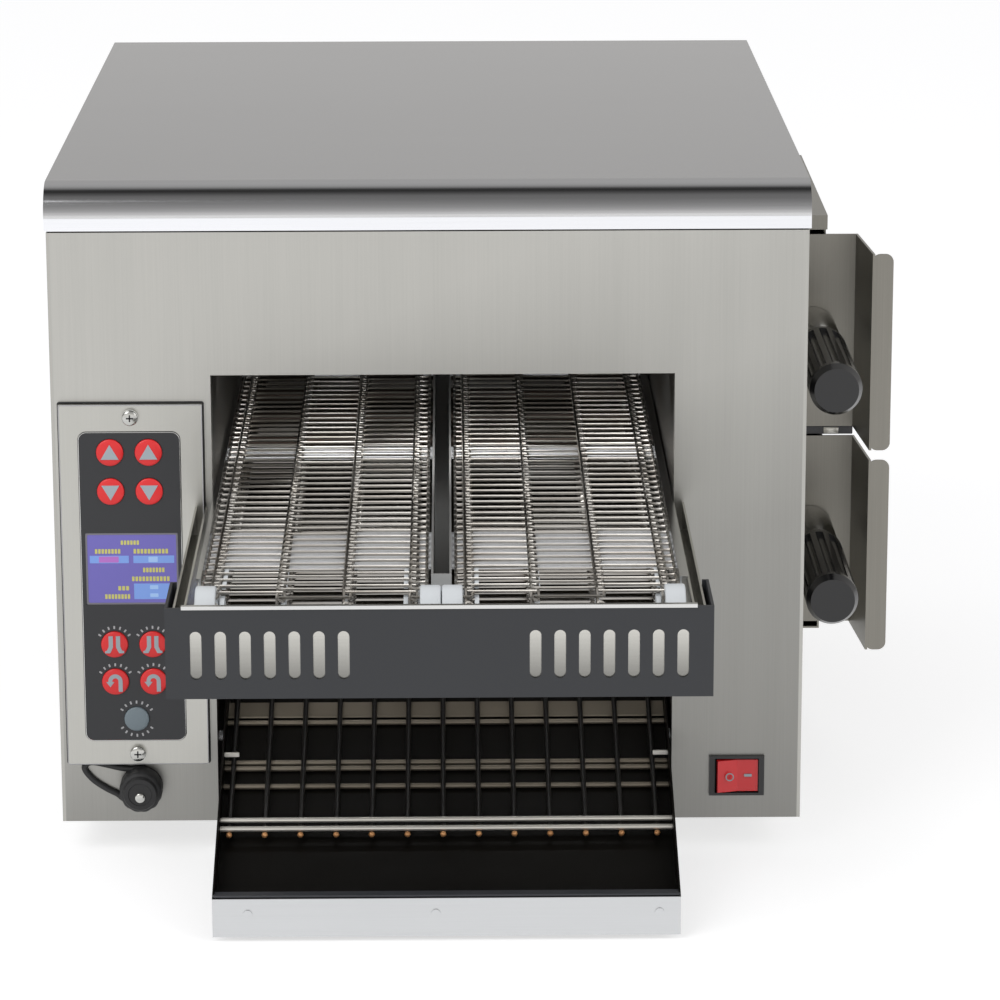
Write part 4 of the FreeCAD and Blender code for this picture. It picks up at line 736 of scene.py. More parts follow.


# Finishes of this object

# Front panel: painted light and shade, lighter towards the upper left and darker towards the lower
# right.
PANEL = Banded("panel_steel_painted_shading", (0.45, 0.445, 0.42), roughness=0.36, streak=0.07,
               grain=Grain.UPRIGHT, direction=(-0.45, 0.0, 1.0), first=-0.03, last=0.45,
               stops=((0.0, 0.55), (0.22, 0.62), (0.33, 0.66), (0.47, 0.83), (0.55, 0.93),
                      (0.65, 0.95), (0.80, 1.06), (1.0, 1.02)))
HEM = BrushedSteel("hem_steel", (0.43, 0.425, 0.40), streak=0.09, grain=Grain.UPRIGHT)
BEZEL = BrushedSteel("bezel_steel", (0.47, 0.465, 0.435), roughness=0.32, streak=0.05,
                     grain=Grain.UPRIGHT)
# Lid: painted reflection, the lower band of the front fold about twice as bright as the rest, and
# the flat top a little darker still.
LID = Banded("lid_steel", (0.80, 0.806, 0.83), roughness=0.13, streak=0.05,
             first=0.3786, last=0.405,
             stops=((0.0, 0.98), (0.26, 0.98), (0.36, 0.49), (0.97, 0.49), (1.0, 0.40)))
UNIT = BrushedSteel("unit_steel", (0.235, 0.225, 0.20), streak=0.12, grain=Grain.UPRIGHT)
BRIGHT = BrushedSteel("bright_steel", (0.62, 0.62, 0.61), roughness=0.22, streak=0.05)
LIP = BrushedSteel("lip_steel", (0.61, 0.62, 0.63), roughness=0.34, streak=0.04)
# Conveyor frame: painted shade, darker towards the bottom, down to under a third of its colour.
ARM = Banded("arm_steel_painted_shade", (0.60, 0.59, 0.55), roughness=0.24, streak=0.10,
             first=0.174, last=0.208, stops=((0.0, 0.30), (0.5, 0.62), (1.0, 1.0)))
TUNNEL = HeatedSteel("tunnel_steel", (0.12, 0.118, 0.112), tint=(0.14, 0.11, 0.08))
CHUTE = HeatedSteel("chute_steel", (0.22, 0.20, 0.165), tint=(0.22, 0.17, 0.10))
# Slide plates and tray pins: stainless given a near-white, almost non-metallic colour, a painted
# reflection of the lamps.
SLIDE = Finish("slide_steel_painted_reflection", (0.90, 0.91, 0.93), 0.40, metallic=0.1, mottling=0.05)
# Rear rack bars and strip: a darker tan copy of the bright bar steel, painted shade for their
# place deeper in the outlet, with heat-tint patches.
TAN = HeatedSteel("tan_steel_painted_shade", (0.24, 0.21, 0.165), metallic=0.5, roughness=0.36,
                  tint=(0.17, 0.14, 0.10))
BAR = BrushedSteel("bar_steel", (0.78, 0.76, 0.70), metallic=0.6, roughness=0.32, streak=0.06)
WIRE = HeatedSteel("belt_wire", (0.42, 0.405, 0.38), roughness=0.30, tint=(0.20, 0.16, 0.12),
                   grain_pitch=1600.0)
CHANNEL = Finish("channel_steel", (0.42, 0.42, 0.41), 0.40, metallic=0.5)
DARK = Finish("dark_steel", (0.08, 0.08, 0.084), 0.40, metallic=0.5)
GUARD = Finish("guard_coat", (0.026, 0.028, 0.032), 0.50, mottling=0.08, grain_pitch=2600.0)
TRAY = Finish("tray_coat", (0.0050, 0.0044, 0.0036), 0.40, mottling=0.3, specular=0.10)
FOLD = Finish("tray_fold", (0.040, 0.043, 0.050), 0.40, mottling=0.1)
RACK = Finish("rack_wire", (0.010, 0.0095, 0.009), 0.38)
WELD = HeatedSteel("weld_copper", (0.70, 0.36, 0.15), metallic=0.5, roughness=0.4,
                   tint=(0.34, 0.14, 0.05))
BLOCK = Finish("white_block", (0.72, 0.75, 0.77), 0.48, mottling=0.06)
SHEATH = HeatedSteel("heater_sheath", (0.10, 0.085, 0.075), metallic=0.7, roughness=0.55,
                     tint=(0.20, 0.12, 0.08))
MACHINE = BrushedSteel("machine_steel", (0.42, 0.42, 0.41), roughness=0.33, streak=0.12)
SCREW = BrushedSteel("screw_steel", (0.50, 0.50, 0.48), roughness=0.20, streak=0.15)
FILM = Finish("overlay_film", (0.021, 0.022, 0.025), 0.42, mottling=0.06, grain_pitch=3000.0)
RED = Finish("button_red", (0.86, 0.028, 0.030), 0.36, coat=0.10, mottling=0.08)
GREY = Finish("button_grey", (0.20, 0.25, 0.28), 0.36, coat=0.15, mottling=0.08)
PRINT = Finish("pale_print", (0.50, 0.50, 0.51), 0.50, mottling=0.03)
FRAME = Finish("frame_grey", (0.22, 0.21, 0.24), 0.45, mottling=0.05)
SIGN = Finish("sign_grey", (0.43, 0.49, 0.53), 0.42, mottling=0.03)
SCREEN = Lit("screen_violet", (0.135, 0.115, 0.42), 0.30, coat=0.2, glow=0.28, mottling=0.03)
BOARD = Finish("board_green", (0.02, 0.13, 0.06), 0.45)
CASE = Finish("switch_case", (0.018, 0.018, 0.019), 0.34)
ROCKER = Finish("rocker_red", (0.80, 0.012, 0.018), 0.24, coat=0.4, mottling=0.05)
RUBBER = Finish("cap_rubber", (0.016, 0.016, 0.017), 0.58, mottling=0.15, grain_pitch=1800.0)
GRIP = Finish("grip_gloss", (0.007, 0.007, 0.008), 0.20, coat=0.1, mottling=0.05)
FOOT = Finish("foot_rubber", (0.02, 0.02, 0.02), 0.7, mottling=0.15)
FAN = Finish("fan_plastic", (0.02, 0.02, 0.02), 0.4)


# Sub-assemblies


@dataclass
class Cabinet:
    """Sheet metal body: the finishes of its sheets and the domed heads of its front screws.

    Fields: head radius and rise of a screw, width and length of its cross's slots, and its
    inset from the bezel's upper and lower ends.
    """

    head: float = 4.7 * MM
    rise: float = 1.5 * MM
    slot_width: float = 0.9 * MM
    slot_length: float = 4.2 * MM
    inset: float = 7.2 * MM

    def screws(self) -> None:
        """Domed heads on the two bezel screws, with a small dark cross in each as painted shade
        for the cross slots.
        """
        low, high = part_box("control_bezel")
        front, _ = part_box("panel_screws")
        across = (low.x + high.x) / 2
        steps = np.linspace(0.0, np.pi / 2 * 0.9, 6)
        dome = [(self.head * math.cos(step), -self.rise * math.sin(step)) for step in steps]
        places = [(across, front.y, level)
                  for level in (high.z - self.inset, low.z + self.inset)]
        cross = self.slot_length, self.slot_width
        joined(turned([(self.head, 0.2 * MM)] + dome, place, 32) for place in places).piece(
            "bezel_screw_heads", SCREW, "cabinet", "machine_steel", 60.0)
        # The dark crosses stand proud of the domes: painted shade for the cross slots, which are
        # not cut.
        joined(flat_shape(rounded(*size, 0.2 * MM, 2), place, -0.5 * MM,
                          -self.rise - 0.02 * MM)
               for place in places for size in (cross, cross[::-1])).piece(
            "bezel_screw_painted_slot_shade", CASE, "cabinet", "machine_steel")

    def build(self) -> None:
        """Dress the sheets and add the screw heads."""
        dress_nodes({
            PANEL: ["front_panel"], HEM: ["left_side_panel", "right_side_panel"],
            MACHINE: ["rear_panel", "base_pan", "top_frame", "gearmotors", "drive_chains"],
            LID: ["top_lid"], TUNNEL: ["toasting_tunnel"], CHUTE: ["chute"],
            SHEATH: ["heating_elements"], SCREW: ["panel_screws"], FOOT: ["feet"],
            FAN: ["fan_housing", "fan_rotor"], CASE: ["cable_gland"]})
        self.screws()


@dataclass
class BeltLane:
    """One wire belt: strands that hook into each other, carried round two shafts.

    Fields: side, pitch of the strands, wire radius, edge (width of the narrow spaces),
    joint (width of a hook), dip (how far a hook leaves the middle), tip (how far it reaches
    past the next strand), sides of the wire, ease (length taken off each corner), clearance
    (how far the wire stays within the plain solid).
    """

    side: str
    pitch: float = 12.7 * MM
    wire: float = 0.95 * MM
    edge: float = 8.0 * MM
    joint: float = 3.8 * MM
    dip: float = 0.75 * MM
    tip: float = 2.2 * MM
    sides: int = 5
    ease: float = 0.9 * MM
    clearance: float = 0.05 * MM

    def strand(self, width: float, pitch: float) -> np.ndarray:
        """Path of one strand: across offset, offset along the belt and height.

        Args:
            width: width of the belt.
            pitch: distance between strands.

        Returns:
            Bars that lie half a pitch apart in neighbouring spaces. At each joint the wire
            dips under the next strand's bar, turns round it and comes back over its own.
        """
        inner = (width - 2 * self.edge) / 3
        joints = self.edge + inner * np.arange(4)
        half, reach, hook = pitch / 2, pitch / 2 + self.tip, self.joint / 2
        start, tail = self.wire, -self.tip * 0.6
        path = [(start, tail, -self.dip), (start, half, 0.0)]
        at = half
        for joint in joints:
            to = 0.0 if at else half
            turn = 1.0 if at else -1.0
            path += [(joint + hook, at, 0.0), (joint + hook, at + turn * reach, -self.dip),
                     (joint - hook, at + turn * reach, self.dip), (joint - hook, to, 0.0)]
            at = to
        path += [(width - start, half, 0.0), (width - start, tail, -self.dip)]
        return eased(path, self.ease)

    def carried(self, points: np.ndarray, left: float, near: float, far: float,
                level: float, radius: float) -> np.ndarray:
        """Places of points that are given along a loop.

        Args:
            points: across offset, distance along the loop and height over its middle line.
            left: place of the left edge.
            near: place of the front axis.
            far: place of the rear axis.
            level: height of the axes.
            radius: radius of the middle line.

        Returns:
            Y is the front axis plus the distance run on top less that below, plus the
            radius and height times the sine of the turn made; Z is the level plus the
            radius and height times its cosine.
        """
        run, bend = far - near, np.pi * radius
        along = points[:, 1] % (2 * (run + bend))
        top = np.clip(along, 0, run)
        rear = np.clip(along - run, 0, bend)
        under = np.clip(along - run - bend, 0, run)
        front = np.clip(along - 2 * run - bend, 0, bend)
        turn = (rear + front) / radius
        reach = radius + points[:, 2]
        return np.stack([left + points[:, 0], near + top - under + reach * np.sin(turn),
                         level + reach * np.cos(turn)], -1)

    def build(self) -> bpy.types.Object:
        """Make the belt in place of its plain solid.

        Returns:
            The belt: as many strands as fit, each carried to its place on the loop.
        """
        low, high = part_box(f"{self.side}_belt")
        half = (high.z - low.z) / 2
        near, far, level = low.y + half, high.y - half, (high.z + low.z) / 2
        radius = half - self.dip - self.wire - self.clearance
        total = 2 * (far - near) + 2 * np.pi * radius
        count = int(round(total / self.pitch))
        pitch = total / count
        strand = tube(self.strand(high.x - low.x, pitch), self.wire, self.sides)
        offsets = np.zeros((count, 3))
        offsets[:, 1] = np.arange(count) * pitch
        net = strand.copies(offsets)
        net.points = [self.carried(net.points[0], low.x, near, far, level, radius)]
        belt = net.piece(f"{self.side}_wire_belt", WIRE, "cabinet", "bright_wire", 60.0)
        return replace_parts(belt, f"{self.side}_belt")


@dataclass
class Conveyor:
    """Belts, shafts, rails and the guard in front of them.

    Fields: shaft radius and drive wheels' colour; width, gauge, run, drop and places of the
    white strips that lead each belt onto its front wheels; radius, width, overhang and gap of
    the white hubs, points round them, and steps across them: share of the width and of the
    radius.
    """

    shaft_radius: float = 6.3 * MM
    drive_wheel: Colour = (0.45, 0.45, 0.44)
    strip_width: float = 2.4 * MM
    strip_gauge: float = 1.2 * MM
    strip_run: tuple[float, float] = (0.070, 0.030)
    strip_drop: float = 2.6 * MM
    strip_places: tuple[float, ...] = (12.2 * MM, 45.5 * MM, 78.0 * MM, 111.3 * MM)
    hub_radius: float = 18.4 * MM
    hub_width: float = 11.3 * MM
    hub_overhang: float = 2.4 * MM
    hub_gap: float = 0.3 * MM
    hub_points: int = 48
    hub_steps: tuple[tuple[float, float], ...] = (
        (0.0, 0.93), (0.03, 0.98), (0.09, 1.0), (0.91, 1.0), (0.97, 0.98), (1.0, 0.93))

    def shaft(self, node: str, outer: Colour, metallic: float) -> None:
        """Give a shaft its steel and its wheels another colour.

        Args:
            node: the shaft.
            outer: colour of its wheels.
            metallic: their metallic share.
        """
        centre = middle(node)
        TwoTone(f"{node}_finish", (0.5, 0.5, 0.49), 0.3, metallic=1.0,
                centre=tuple(float(part) for part in centre), radius=self.shaft_radius,
                outer=outer, outer_metallic=metallic).dress(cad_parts[node])

    def strips(self) -> None:
        """White strips just under the belts behind the front wheels."""
        bars = []
        for side in ("left", "right"):
            low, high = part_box(f"{side}_belt")
            near, far = low.y + self.strip_run[1], low.y + self.strip_run[0]
            level = high.z - self.strip_drop - self.strip_gauge / 2
            bars += [plate((self.strip_width, self.strip_gauge), 0.2 * MM,
                           (low.x + place, near, level), (far - near, 0.2 * MM, 0.0), 0.1 * MM)
                     for place in self.strip_places]
        joined(bars).piece("belt_lead_strips", BLOCK, "cabinet", "white_block")

    def hubs(self) -> None:
        """White hubs at the belts' front edges: circles about the front axis whose radius
        falls off towards both faces."""
        left, left_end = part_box("left_belt")
        right, right_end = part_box("right_belt")
        middle_line = (left_end.x + right.x) / 2
        near = left.y + (left_end.z - left.z) / 2
        level = (left.z + left_end.z) / 2
        turn = circle(self.hub_radius, self.hub_points)
        starts = (left.x - self.hub_overhang, middle_line - self.hub_width - self.hub_gap,
                  middle_line + self.hub_gap,
                  right_end.x + self.hub_overhang - self.hub_width)
        joined(loft([np.stack([np.full(self.hub_points, start + self.hub_width * along),
                               near + turn[:, 0] * share, level + turn[:, 1] * share], -1)
                     for along, share in self.hub_steps]) for start in starts).piece(
            "belt_hubs", BLOCK, "cabinet", "white_block", 40.0)

    def build(self) -> None:
        """Dress the metal and make both belts."""
        dress_nodes({
            BRIGHT: ["conveyor_rails", "guard_trim"], CHANNEL: ["centre_divider"],
            ARM: ["conveyor_frame"], GUARD: ["front_guard"], BLOCK: ["shaft_bearings"],
            SLIDE: ["belt_slide_plates"],
            MACHINE: ["left_motor_sprocket", "right_motor_sprocket"]})
        for side in ("left", "right"):
            BeltLane(side).build()
            self.shaft(f"{side}_idler", BLOCK.colour, 0.0)
            self.shaft(f"{side}_drive_shaft", self.drive_wheel, 0.9)
        self.strips()
        self.hubs()


class Mark(Enum):
    """Signs on the buttons."""

    UP = "up"
    DOWN = "down"
    MERGE = "merge"
    REVERSE = "reverse"
    NONE = "select"


@dataclass
class ControlPanel:
    """Overlay with its buttons, their signs, the display and the ticks round the buttons.

    Fields: dome (how far a button's face bulges), sign (thickness of the signs), tick_ring
    (radius of the ring of ticks), tick (length and width of one), arcs (first and last angle
    of the ticks over and under a button), block (share of a step that a block on the display
    takes up), margin (how far a button's bulge stays within its rim).
    """

    dome: float = 0.9 * MM
    sign: float = 0.10 * MM
    tick_ring: float = 10.3 * MM
    tick: tuple[float, float] = (1.9 * MM, 1.0 * MM)
    arcs: tuple[tuple[float, float], ...] = ((147.0, 33.0), (213.0, 327.0))
    block: float = 0.72
    margin: float = 0.8 * MM

    def button(self, name: str, mark: Mark) -> None:
        """Dress a button, and add its sign and its face, circles whose radius falls off as a
        cosine while they rise as a sine.

        Args:
            name: the button.
            mark: its sign.
        """
        finish, slot = (GREY, "button_grey") if mark is Mark.NONE else (RED, "button_red")
        finish.dress(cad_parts[name])
        low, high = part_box(name)
        radius = (high.x - low.x) / 2 - self.margin
        centre = front_of(name)
        angles = np.linspace(0.0, np.pi / 2 * 0.93, 7)
        profile = [(radius, 0.3 * MM)] + [
            (radius * math.cos(angle), -self.dome * math.sin(angle)) for angle in angles]
        turned(profile, centre, 36).piece(f"{name}_face", finish, name, slot, 50.0)
        if mark is not Mark.NONE:
            joined(flat_shape(outline * MM, centre, -0.3 * MM, -self.dome - self.sign)
                   for outline in self.outlines(mark)).piece(
                f"{name}_sign", SIGN, name, "button_grey")

    def outlines(self, mark: Mark) -> list[np.ndarray]:
        """Outlines of a sign.

        Args:
            mark: the sign.

        Returns:
            Closed outlines counted to the left, in millimetres about the button's middle.
        """
        if mark in (Mark.UP, Mark.DOWN):
            flip = 1.0 if mark is Mark.UP else -1.0
            corners = np.array([(-5.2, -3.9), (5.2, -3.9), (0.0, 5.0)])
            shape = corners * np.array([1.0, flip])
            return [shape if flip > 0 else shape[::-1]]
        if mark is Mark.MERGE:
            right = np.array([(0.9, 5.4), (0.9, -1.4), (2.6, -5.0), (5.6, -5.0), (5.6, -3.8),
                              (4.4, -3.4), (3.4, -1.0), (3.4, 5.4)])
            return [right, (right * np.array([-1.0, 1.0]))[::-1]]
        arc = np.linspace(0.0, np.pi, 13)
        ring = np.stack([np.cos(arc), np.sin(arc)], -1)
        outer, inner = ring * 4.2, ring[::-1] * 1.8
        legs = np.concatenate([[(4.2, -5.8)], outer + (0.0, 0.7), [(-4.2, 0.2)],
                               [(-1.8, 0.2)], inner + (0.0, 0.7), [(1.8, -5.8)]])
        head = np.array([(-5.4, 0.2), (-3.0, -3.0), (-0.6, 0.2)])
        return [legs, head]

    def ticks(self, name: str, first: float, last: float, count: int) -> Surface:
        """Short strokes on an arc round a button.

        Args:
            name: the button.
            first: angle of the first tick in degrees, from the right turning up.
            last: angle of the last tick.
            count: number of ticks.

        Returns:
            The strokes, each turned to its own angle.
        """
        centre = front_of(name)
        film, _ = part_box("control_overlay")
        box = rounded(*self.tick, 0.2 * MM, 1)
        marks = []
        for angle in np.radians(np.linspace(first, last, count)):
            ahead = np.array([math.cos(angle), math.sin(angle)])
            beside = np.array([-ahead[1], ahead[0]])
            outline = box[:, :1] * ahead + box[:, 1:] * beside + ahead * self.tick_ring
            marks.append(flat_shape(outline, (centre[0], film.y, centre[2]), 0.1 * MM,
                                    -0.06 * MM))
        return joined(marks)

    def display(self) -> None:
        """Lit fields and rows of blocks on the screen, each given by its share of it."""
        yellow = Lit("screen_yellow", (0.50, 0.47, 0.13), 0.4, glow=0.35, mottling=0.02)
        blue = Lit("screen_blue", (0.19, 0.32, 0.70), 0.4, glow=0.30, mottling=0.02)
        pink = Lit("screen_pink", (0.42, 0.15, 0.50), 0.4, glow=0.30, mottling=0.02)
        pale = Lit("screen_pale", (0.33, 0.50, 0.80), 0.4, glow=0.30, mottling=0.02)
        fields = {
            "screen_fields": (blue, 0.10, 0.0, [(0.04, 0.465, 0.315, 0.42),
                                                (0.515, 0.96, 0.315, 0.42),
                                                (0.515, 0.96, 0.71, 0.93)]),
            "screen_field_pink": (pink, 0.16, 0.0, [(0.14, 0.355, 0.325, 0.41)]),
            "screen_field_pale": (pale, 0.16, 0.0, [(0.68, 0.78, 0.33, 0.405),
                                                    (0.69, 0.78, 0.735, 0.79),
                                                    (0.69, 0.78, 0.85, 0.90)]),
            "screen_rows": (yellow, 0.16, 2.0 * MM, [(0.377, 0.585, 0.10, 0.16),
                                                     (0.094, 0.38, 0.22, 0.285),
                                                     (0.514, 0.90, 0.22, 0.285),
                                                     (0.613, 0.856, 0.485, 0.55),
                                                     (0.49, 0.91, 0.61, 0.675),
                                                     (0.337, 0.466, 0.745, 0.805),
                                                     (0.193, 0.475, 0.86, 0.925)]),
        }
        for name, (finish, rise, step, areas) in fields.items():
            joined(self.blocks(area, rise * MM, step) for area in areas).piece(
                name, finish, "cabinet", "screen")

    def blocks(self, area: tuple[float, float, float, float], rise: float,
               step: float) -> Surface:
        """A field of the screen, or a row of small blocks along it.

        Args:
            area: left, right, top and lower edge as shares of the screen.
            rise: height over the screen.
            step: distance between blocks, or nothing for one field.

        Returns:
            The blocks, evenly spaced from the left edge to the right one.
        """
        low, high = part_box("display_window")
        wide, tall = high.x - low.x, high.z - low.z
        left, right, top, base = area
        length = (right - left) * wide
        count = max(1, round(length / step)) if step else 1
        share = self.block if step else 1.0
        outline = rounded(length / count * share, (base - top) * tall, 0.2 * MM, 1)
        level = high.z - (top + base) / 2 * tall
        return joined(flat_shape(
            outline, (low.x + left * wide + length * (number + 0.5) / count, low.y, level),
            0.2 * MM, -rise) for number in range(count))

    def display_frame(self) -> None:
        """Narrow pale frame round the display: a ring between two rounded outlines."""
        low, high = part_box("display_window")
        centre = front_of("display_window")
        wide, tall = high.x - low.x, high.z - low.z
        depths = (0.1 * MM, -0.22 * MM, -0.22 * MM, 0.1 * MM)
        sizes = (0.6 * MM, 0.4 * MM, -1.6 * MM, -1.8 * MM)
        rings = np.stack([facing(rounded(wide + size, tall + size, 0.9 * MM, 3), centre, depth)
                          for size, depth in zip(sizes, depths)])
        ring = Surface().add(rings.reshape(-1, 3), grid_faces(4, rings.shape[1]))
        ring.piece("display_frame", FRAME, "cabinet", "overlay_black")

    def outline_wire(self, node: str, grow: float, corner: float, radius: float,
                     depth: float) -> Surface:
        """Fine wire along the outline of a plate.

        Args:
            node: the plate.
            grow: how much wider than the plate the outline is.
            corner: radius of the outline's corners.
            radius: radius of the wire.
            depth: place of the wire behind the plate's face.

        Returns:
            Rings of five points along the closed outline.
        """
        low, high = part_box(node)
        centre = front_of(node)
        outline = rounded(high.x - low.x + grow, high.z - low.z + grow, corner, 6)
        path = facing(outline, centre, depth)
        beside = np.cross(unit(np.roll(path, -1, 0) - np.roll(path, 1, 0)), (0.0, 1.0, 0.0))
        return hoop(path[::-1], beside[::-1], radius, 5)

    def edges(self) -> None:
        """Painted highlights round the overlay and the bezel, a bright steel line inside the
        overlay's edge and a pale line on the bezel's edge, and a dark line behind the bezel as
        painted shadow.
        """
        face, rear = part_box("control_bezel")
        # The two edge lines are painted highlights; the dark line round the bezel is a painted
        # shadow.
        for name, finish, node, *sizes in (
                ("overlay_painted_highlight", BRIGHT, "control_overlay", -0.6 * MM, 4.7 * MM, 0.3 * MM, 0.0),
                ("bezel_painted_highlight", PRINT, "control_bezel", -0.5 * MM, 0.8 * MM, 0.35 * MM, 0.1 * MM),
                ("bezel_painted_shadow", CASE, "control_bezel", 1.0 * MM, 1.0 * MM, 0.6 * MM,
                 rear.y - face.y)):
            self.outline_wire(node, *sizes).piece(name, finish, "cabinet", "stainless", 60.0)

    def build(self) -> None:
        """Dress the panel and add its signs."""
        dress_nodes({BEZEL: ["control_bezel"], FILM: ["control_overlay"],
                     SCREEN: ["display_window"], BOARD: ["control_board"]})
        for mark in Mark:
            sides = [""] if mark is Mark.NONE else ["_left", "_right"]
            for side in sides:
                self.button(f"button_{mark.value}{side}", mark)
        arcs = [(f"button_{kind}_{side}", *self.arcs[0]) for side in ("left", "right")
                for kind in ("merge", "reverse")]
        arcs += [("button_select", *arc) for arc in self.arcs]
        joined(self.ticks(*arc, 7) for arc in arcs).piece(
            "button_ticks", PRINT, "cabinet", "overlay_black")
        self.display()
        self.display_frame()
        self.edges()


@dataclass
class PowerSwitch:
    """Rocker switch with a ring and a bar on its rocker.

    Fields: the ring's two radii, and its place left of the middle; the bar's width and
    height, and its place right of the middle, behind the rocker's front and over the middle.
    """

    ring: tuple[float, float] = (2.5 * MM, 1.9 * MM)
    ring_place: float = 4.6 * MM
    bar: tuple[float, float] = (4.6 * MM, 1.6 * MM)
    bar_place: tuple[float, float, float] = (6.4 * MM, 2.6 * MM, 0.3 * MM)

    def build(self) -> None:
        """Dress the switch and put a ring and a bar on the rocker's faces."""
        dress_nodes({CASE: ["switch_bezel"], ROCKER: ["power_rocker"]})
        low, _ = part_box("power_rocker")
        centre = middle("power_rocker")
        left = (centre[0] - self.ring_place, low.y, centre[2])
        outer, inner = (facing(circle(radius, 24), left, -0.05 * MM) for radius in self.ring)
        edge = (0, 0.5 * MM, 0)
        band = np.stack([outer + edge, outer, inner, inner + edge])
        signs = Surface().add(band.reshape(-1, 3), grid_faces(4, 24, True)[:, ::-1])
        signs.piece("rocker_ring", SIGN, "power_rocker", "rocker_red")
        aside, behind, over = self.bar_place
        right = (centre[0] + aside, low.y + behind, centre[2] + over)
        bar = flat_shape(rounded(*self.bar, 0.4 * MM, 2), right, 0.6 * MM, -0.1 * MM)
        bar.piece("rocker_bar", SIGN, "power_rocker", "rocker_red")


@dataclass
class CappedPort:
    """Data port with its lobed rubber cap, the rivet in it, and the strap.

    Fields: lobes round the cap, their depth, how far its front lies behind the node's box, the
    rivet's radius and drop, the radius of the strap, how far it lies in front of the loop
    round the collar, and the radii of that loop and of its section.
    """

    lobes: int = 12
    lobe: float = 0.035
    inset: float = 0.9 * MM
    rivet: float = 3.1 * MM
    rivet_drop: float = 2.0 * MM
    strap: float = 1.9 * MM
    strap_step: float = 0.4 * MM
    loop: tuple[float, float] = (11.6 * MM, 1.0 * MM)

    def cap(self) -> None:
        """Cap: circles whose radius waves round the rim, with a raised ring in front."""
        low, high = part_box("port_cap")
        centre = middle("port_cap")
        radius, depth = (high.x - low.x) / 2, high.y - low.y - self.inset
        turn = np.arange(96) * (2 * np.pi / 96)
        wave = 1.0 - self.lobe * (0.5 + 0.5 * np.cos(self.lobes * turn)) ** 2
        ring = circle(1.0, 96)
        profile = [(0.86, 1.0, 0.0), (0.96, 0.98, 0.0), (1.0, 0.92, 1.0), (1.0, 0.42, 1.0),
                   (0.985, 0.34, 1.0), (0.95, 0.28, 0.6), (0.86, 0.24, 0.0),
                   (0.80, 0.22, 0.0), (0.78, 0.06, 0.0), (0.74, 0.01, 0.0),
                   (0.55, 0.0, 0.0), (0.52, 0.03, 0.0), (0.10, 0.03, 0.0)]
        front = np.array([centre[0], low.y + self.inset, centre[2]])
        layers = [facing(ring * (radius * share * (wave ** waves))[:, None], front,
                         depth * place) for share, place, waves in profile]
        cap = loft(layers).piece("port_cap_body", RUBBER, "port_cap", "cap_black", 40.0)
        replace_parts(cap, "port_cap")
        drop = front - np.array([0.0, 0.0, self.rivet_drop])
        rivet = turned([(self.rivet, 0.8 * MM), (self.rivet, -0.1 * MM),
                        (self.rivet * 0.85, -0.55 * MM), (self.rivet * 0.5, -0.82 * MM),
                        (self.rivet * 0.1, -0.88 * MM)], drop, 28)
        rivet.piece("port_cap_rivet", SCREW, "port_cap", "machine_steel", 50.0)

    def tether(self) -> None:
        """Strap: a loop round the collar, drawn out up to the left and rounded at its tip."""
        low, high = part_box("cap_tether")
        centre = middle("port_cap")
        along = (low.y + high.y) / 2
        points = np.array([(4.0, 9.6), (-6.5, 10.6), (-13.0, 11.6), (-21.0, 13.6),
                           (-27.5, 15.0), (-31.5, 14.6), (-33.6, 12.0), (-32.4, 8.6),
                           (-27.8, 3.4), (-20.5, -1.6), (-14.5, -4.8), (-11.2, -7.6),
                           (-7.0, -9.6), (2.0, -10.6)]) * MM
        steps = np.linspace(0.0, 1.0, 4)[:-1, None]
        before, after = np.roll(points, 1, 0), np.roll(points, -1, 0)
        ahead = np.roll(points, -2, 0)
        slope, next_slope = (after - before) / 2, (ahead - points) / 2
        t = steps[None]
        curve = ((2 * t ** 3 - 3 * t ** 2 + 1) * points[:, None]
                 + (t ** 3 - 2 * t ** 2 + t) * slope[:, None]
                 + (3 * t ** 2 - 2 * t ** 3) * after[:, None]
                 + (t ** 3 - t ** 2) * next_slope[:, None])[:-1].reshape(-1, 2)
        path = facing(curve, (centre[0], along, centre[2]), -self.strap_step)
        strap = tube(path, self.strap, 10, up=(0, 1, 0))
        ring = circle(1.0, 40)
        middle_line = facing(ring * self.loop[0], (centre[0], along, centre[2]), 0.0)
        strap.join(hoop(middle_line, facing(ring, (0.0, 0.0, 0.0), 0.0), self.loop[1], 8))
        piece = strap.piece("cap_strap", RUBBER, "cabinet", "cap_black", 50.0)
        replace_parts(piece, "cap_tether")

    def build(self) -> None:
        """Dress the port and build the cap and the strap."""
        dress_nodes({MACHINE: ["port_socket"]})
        self.cap()
        self.tether()


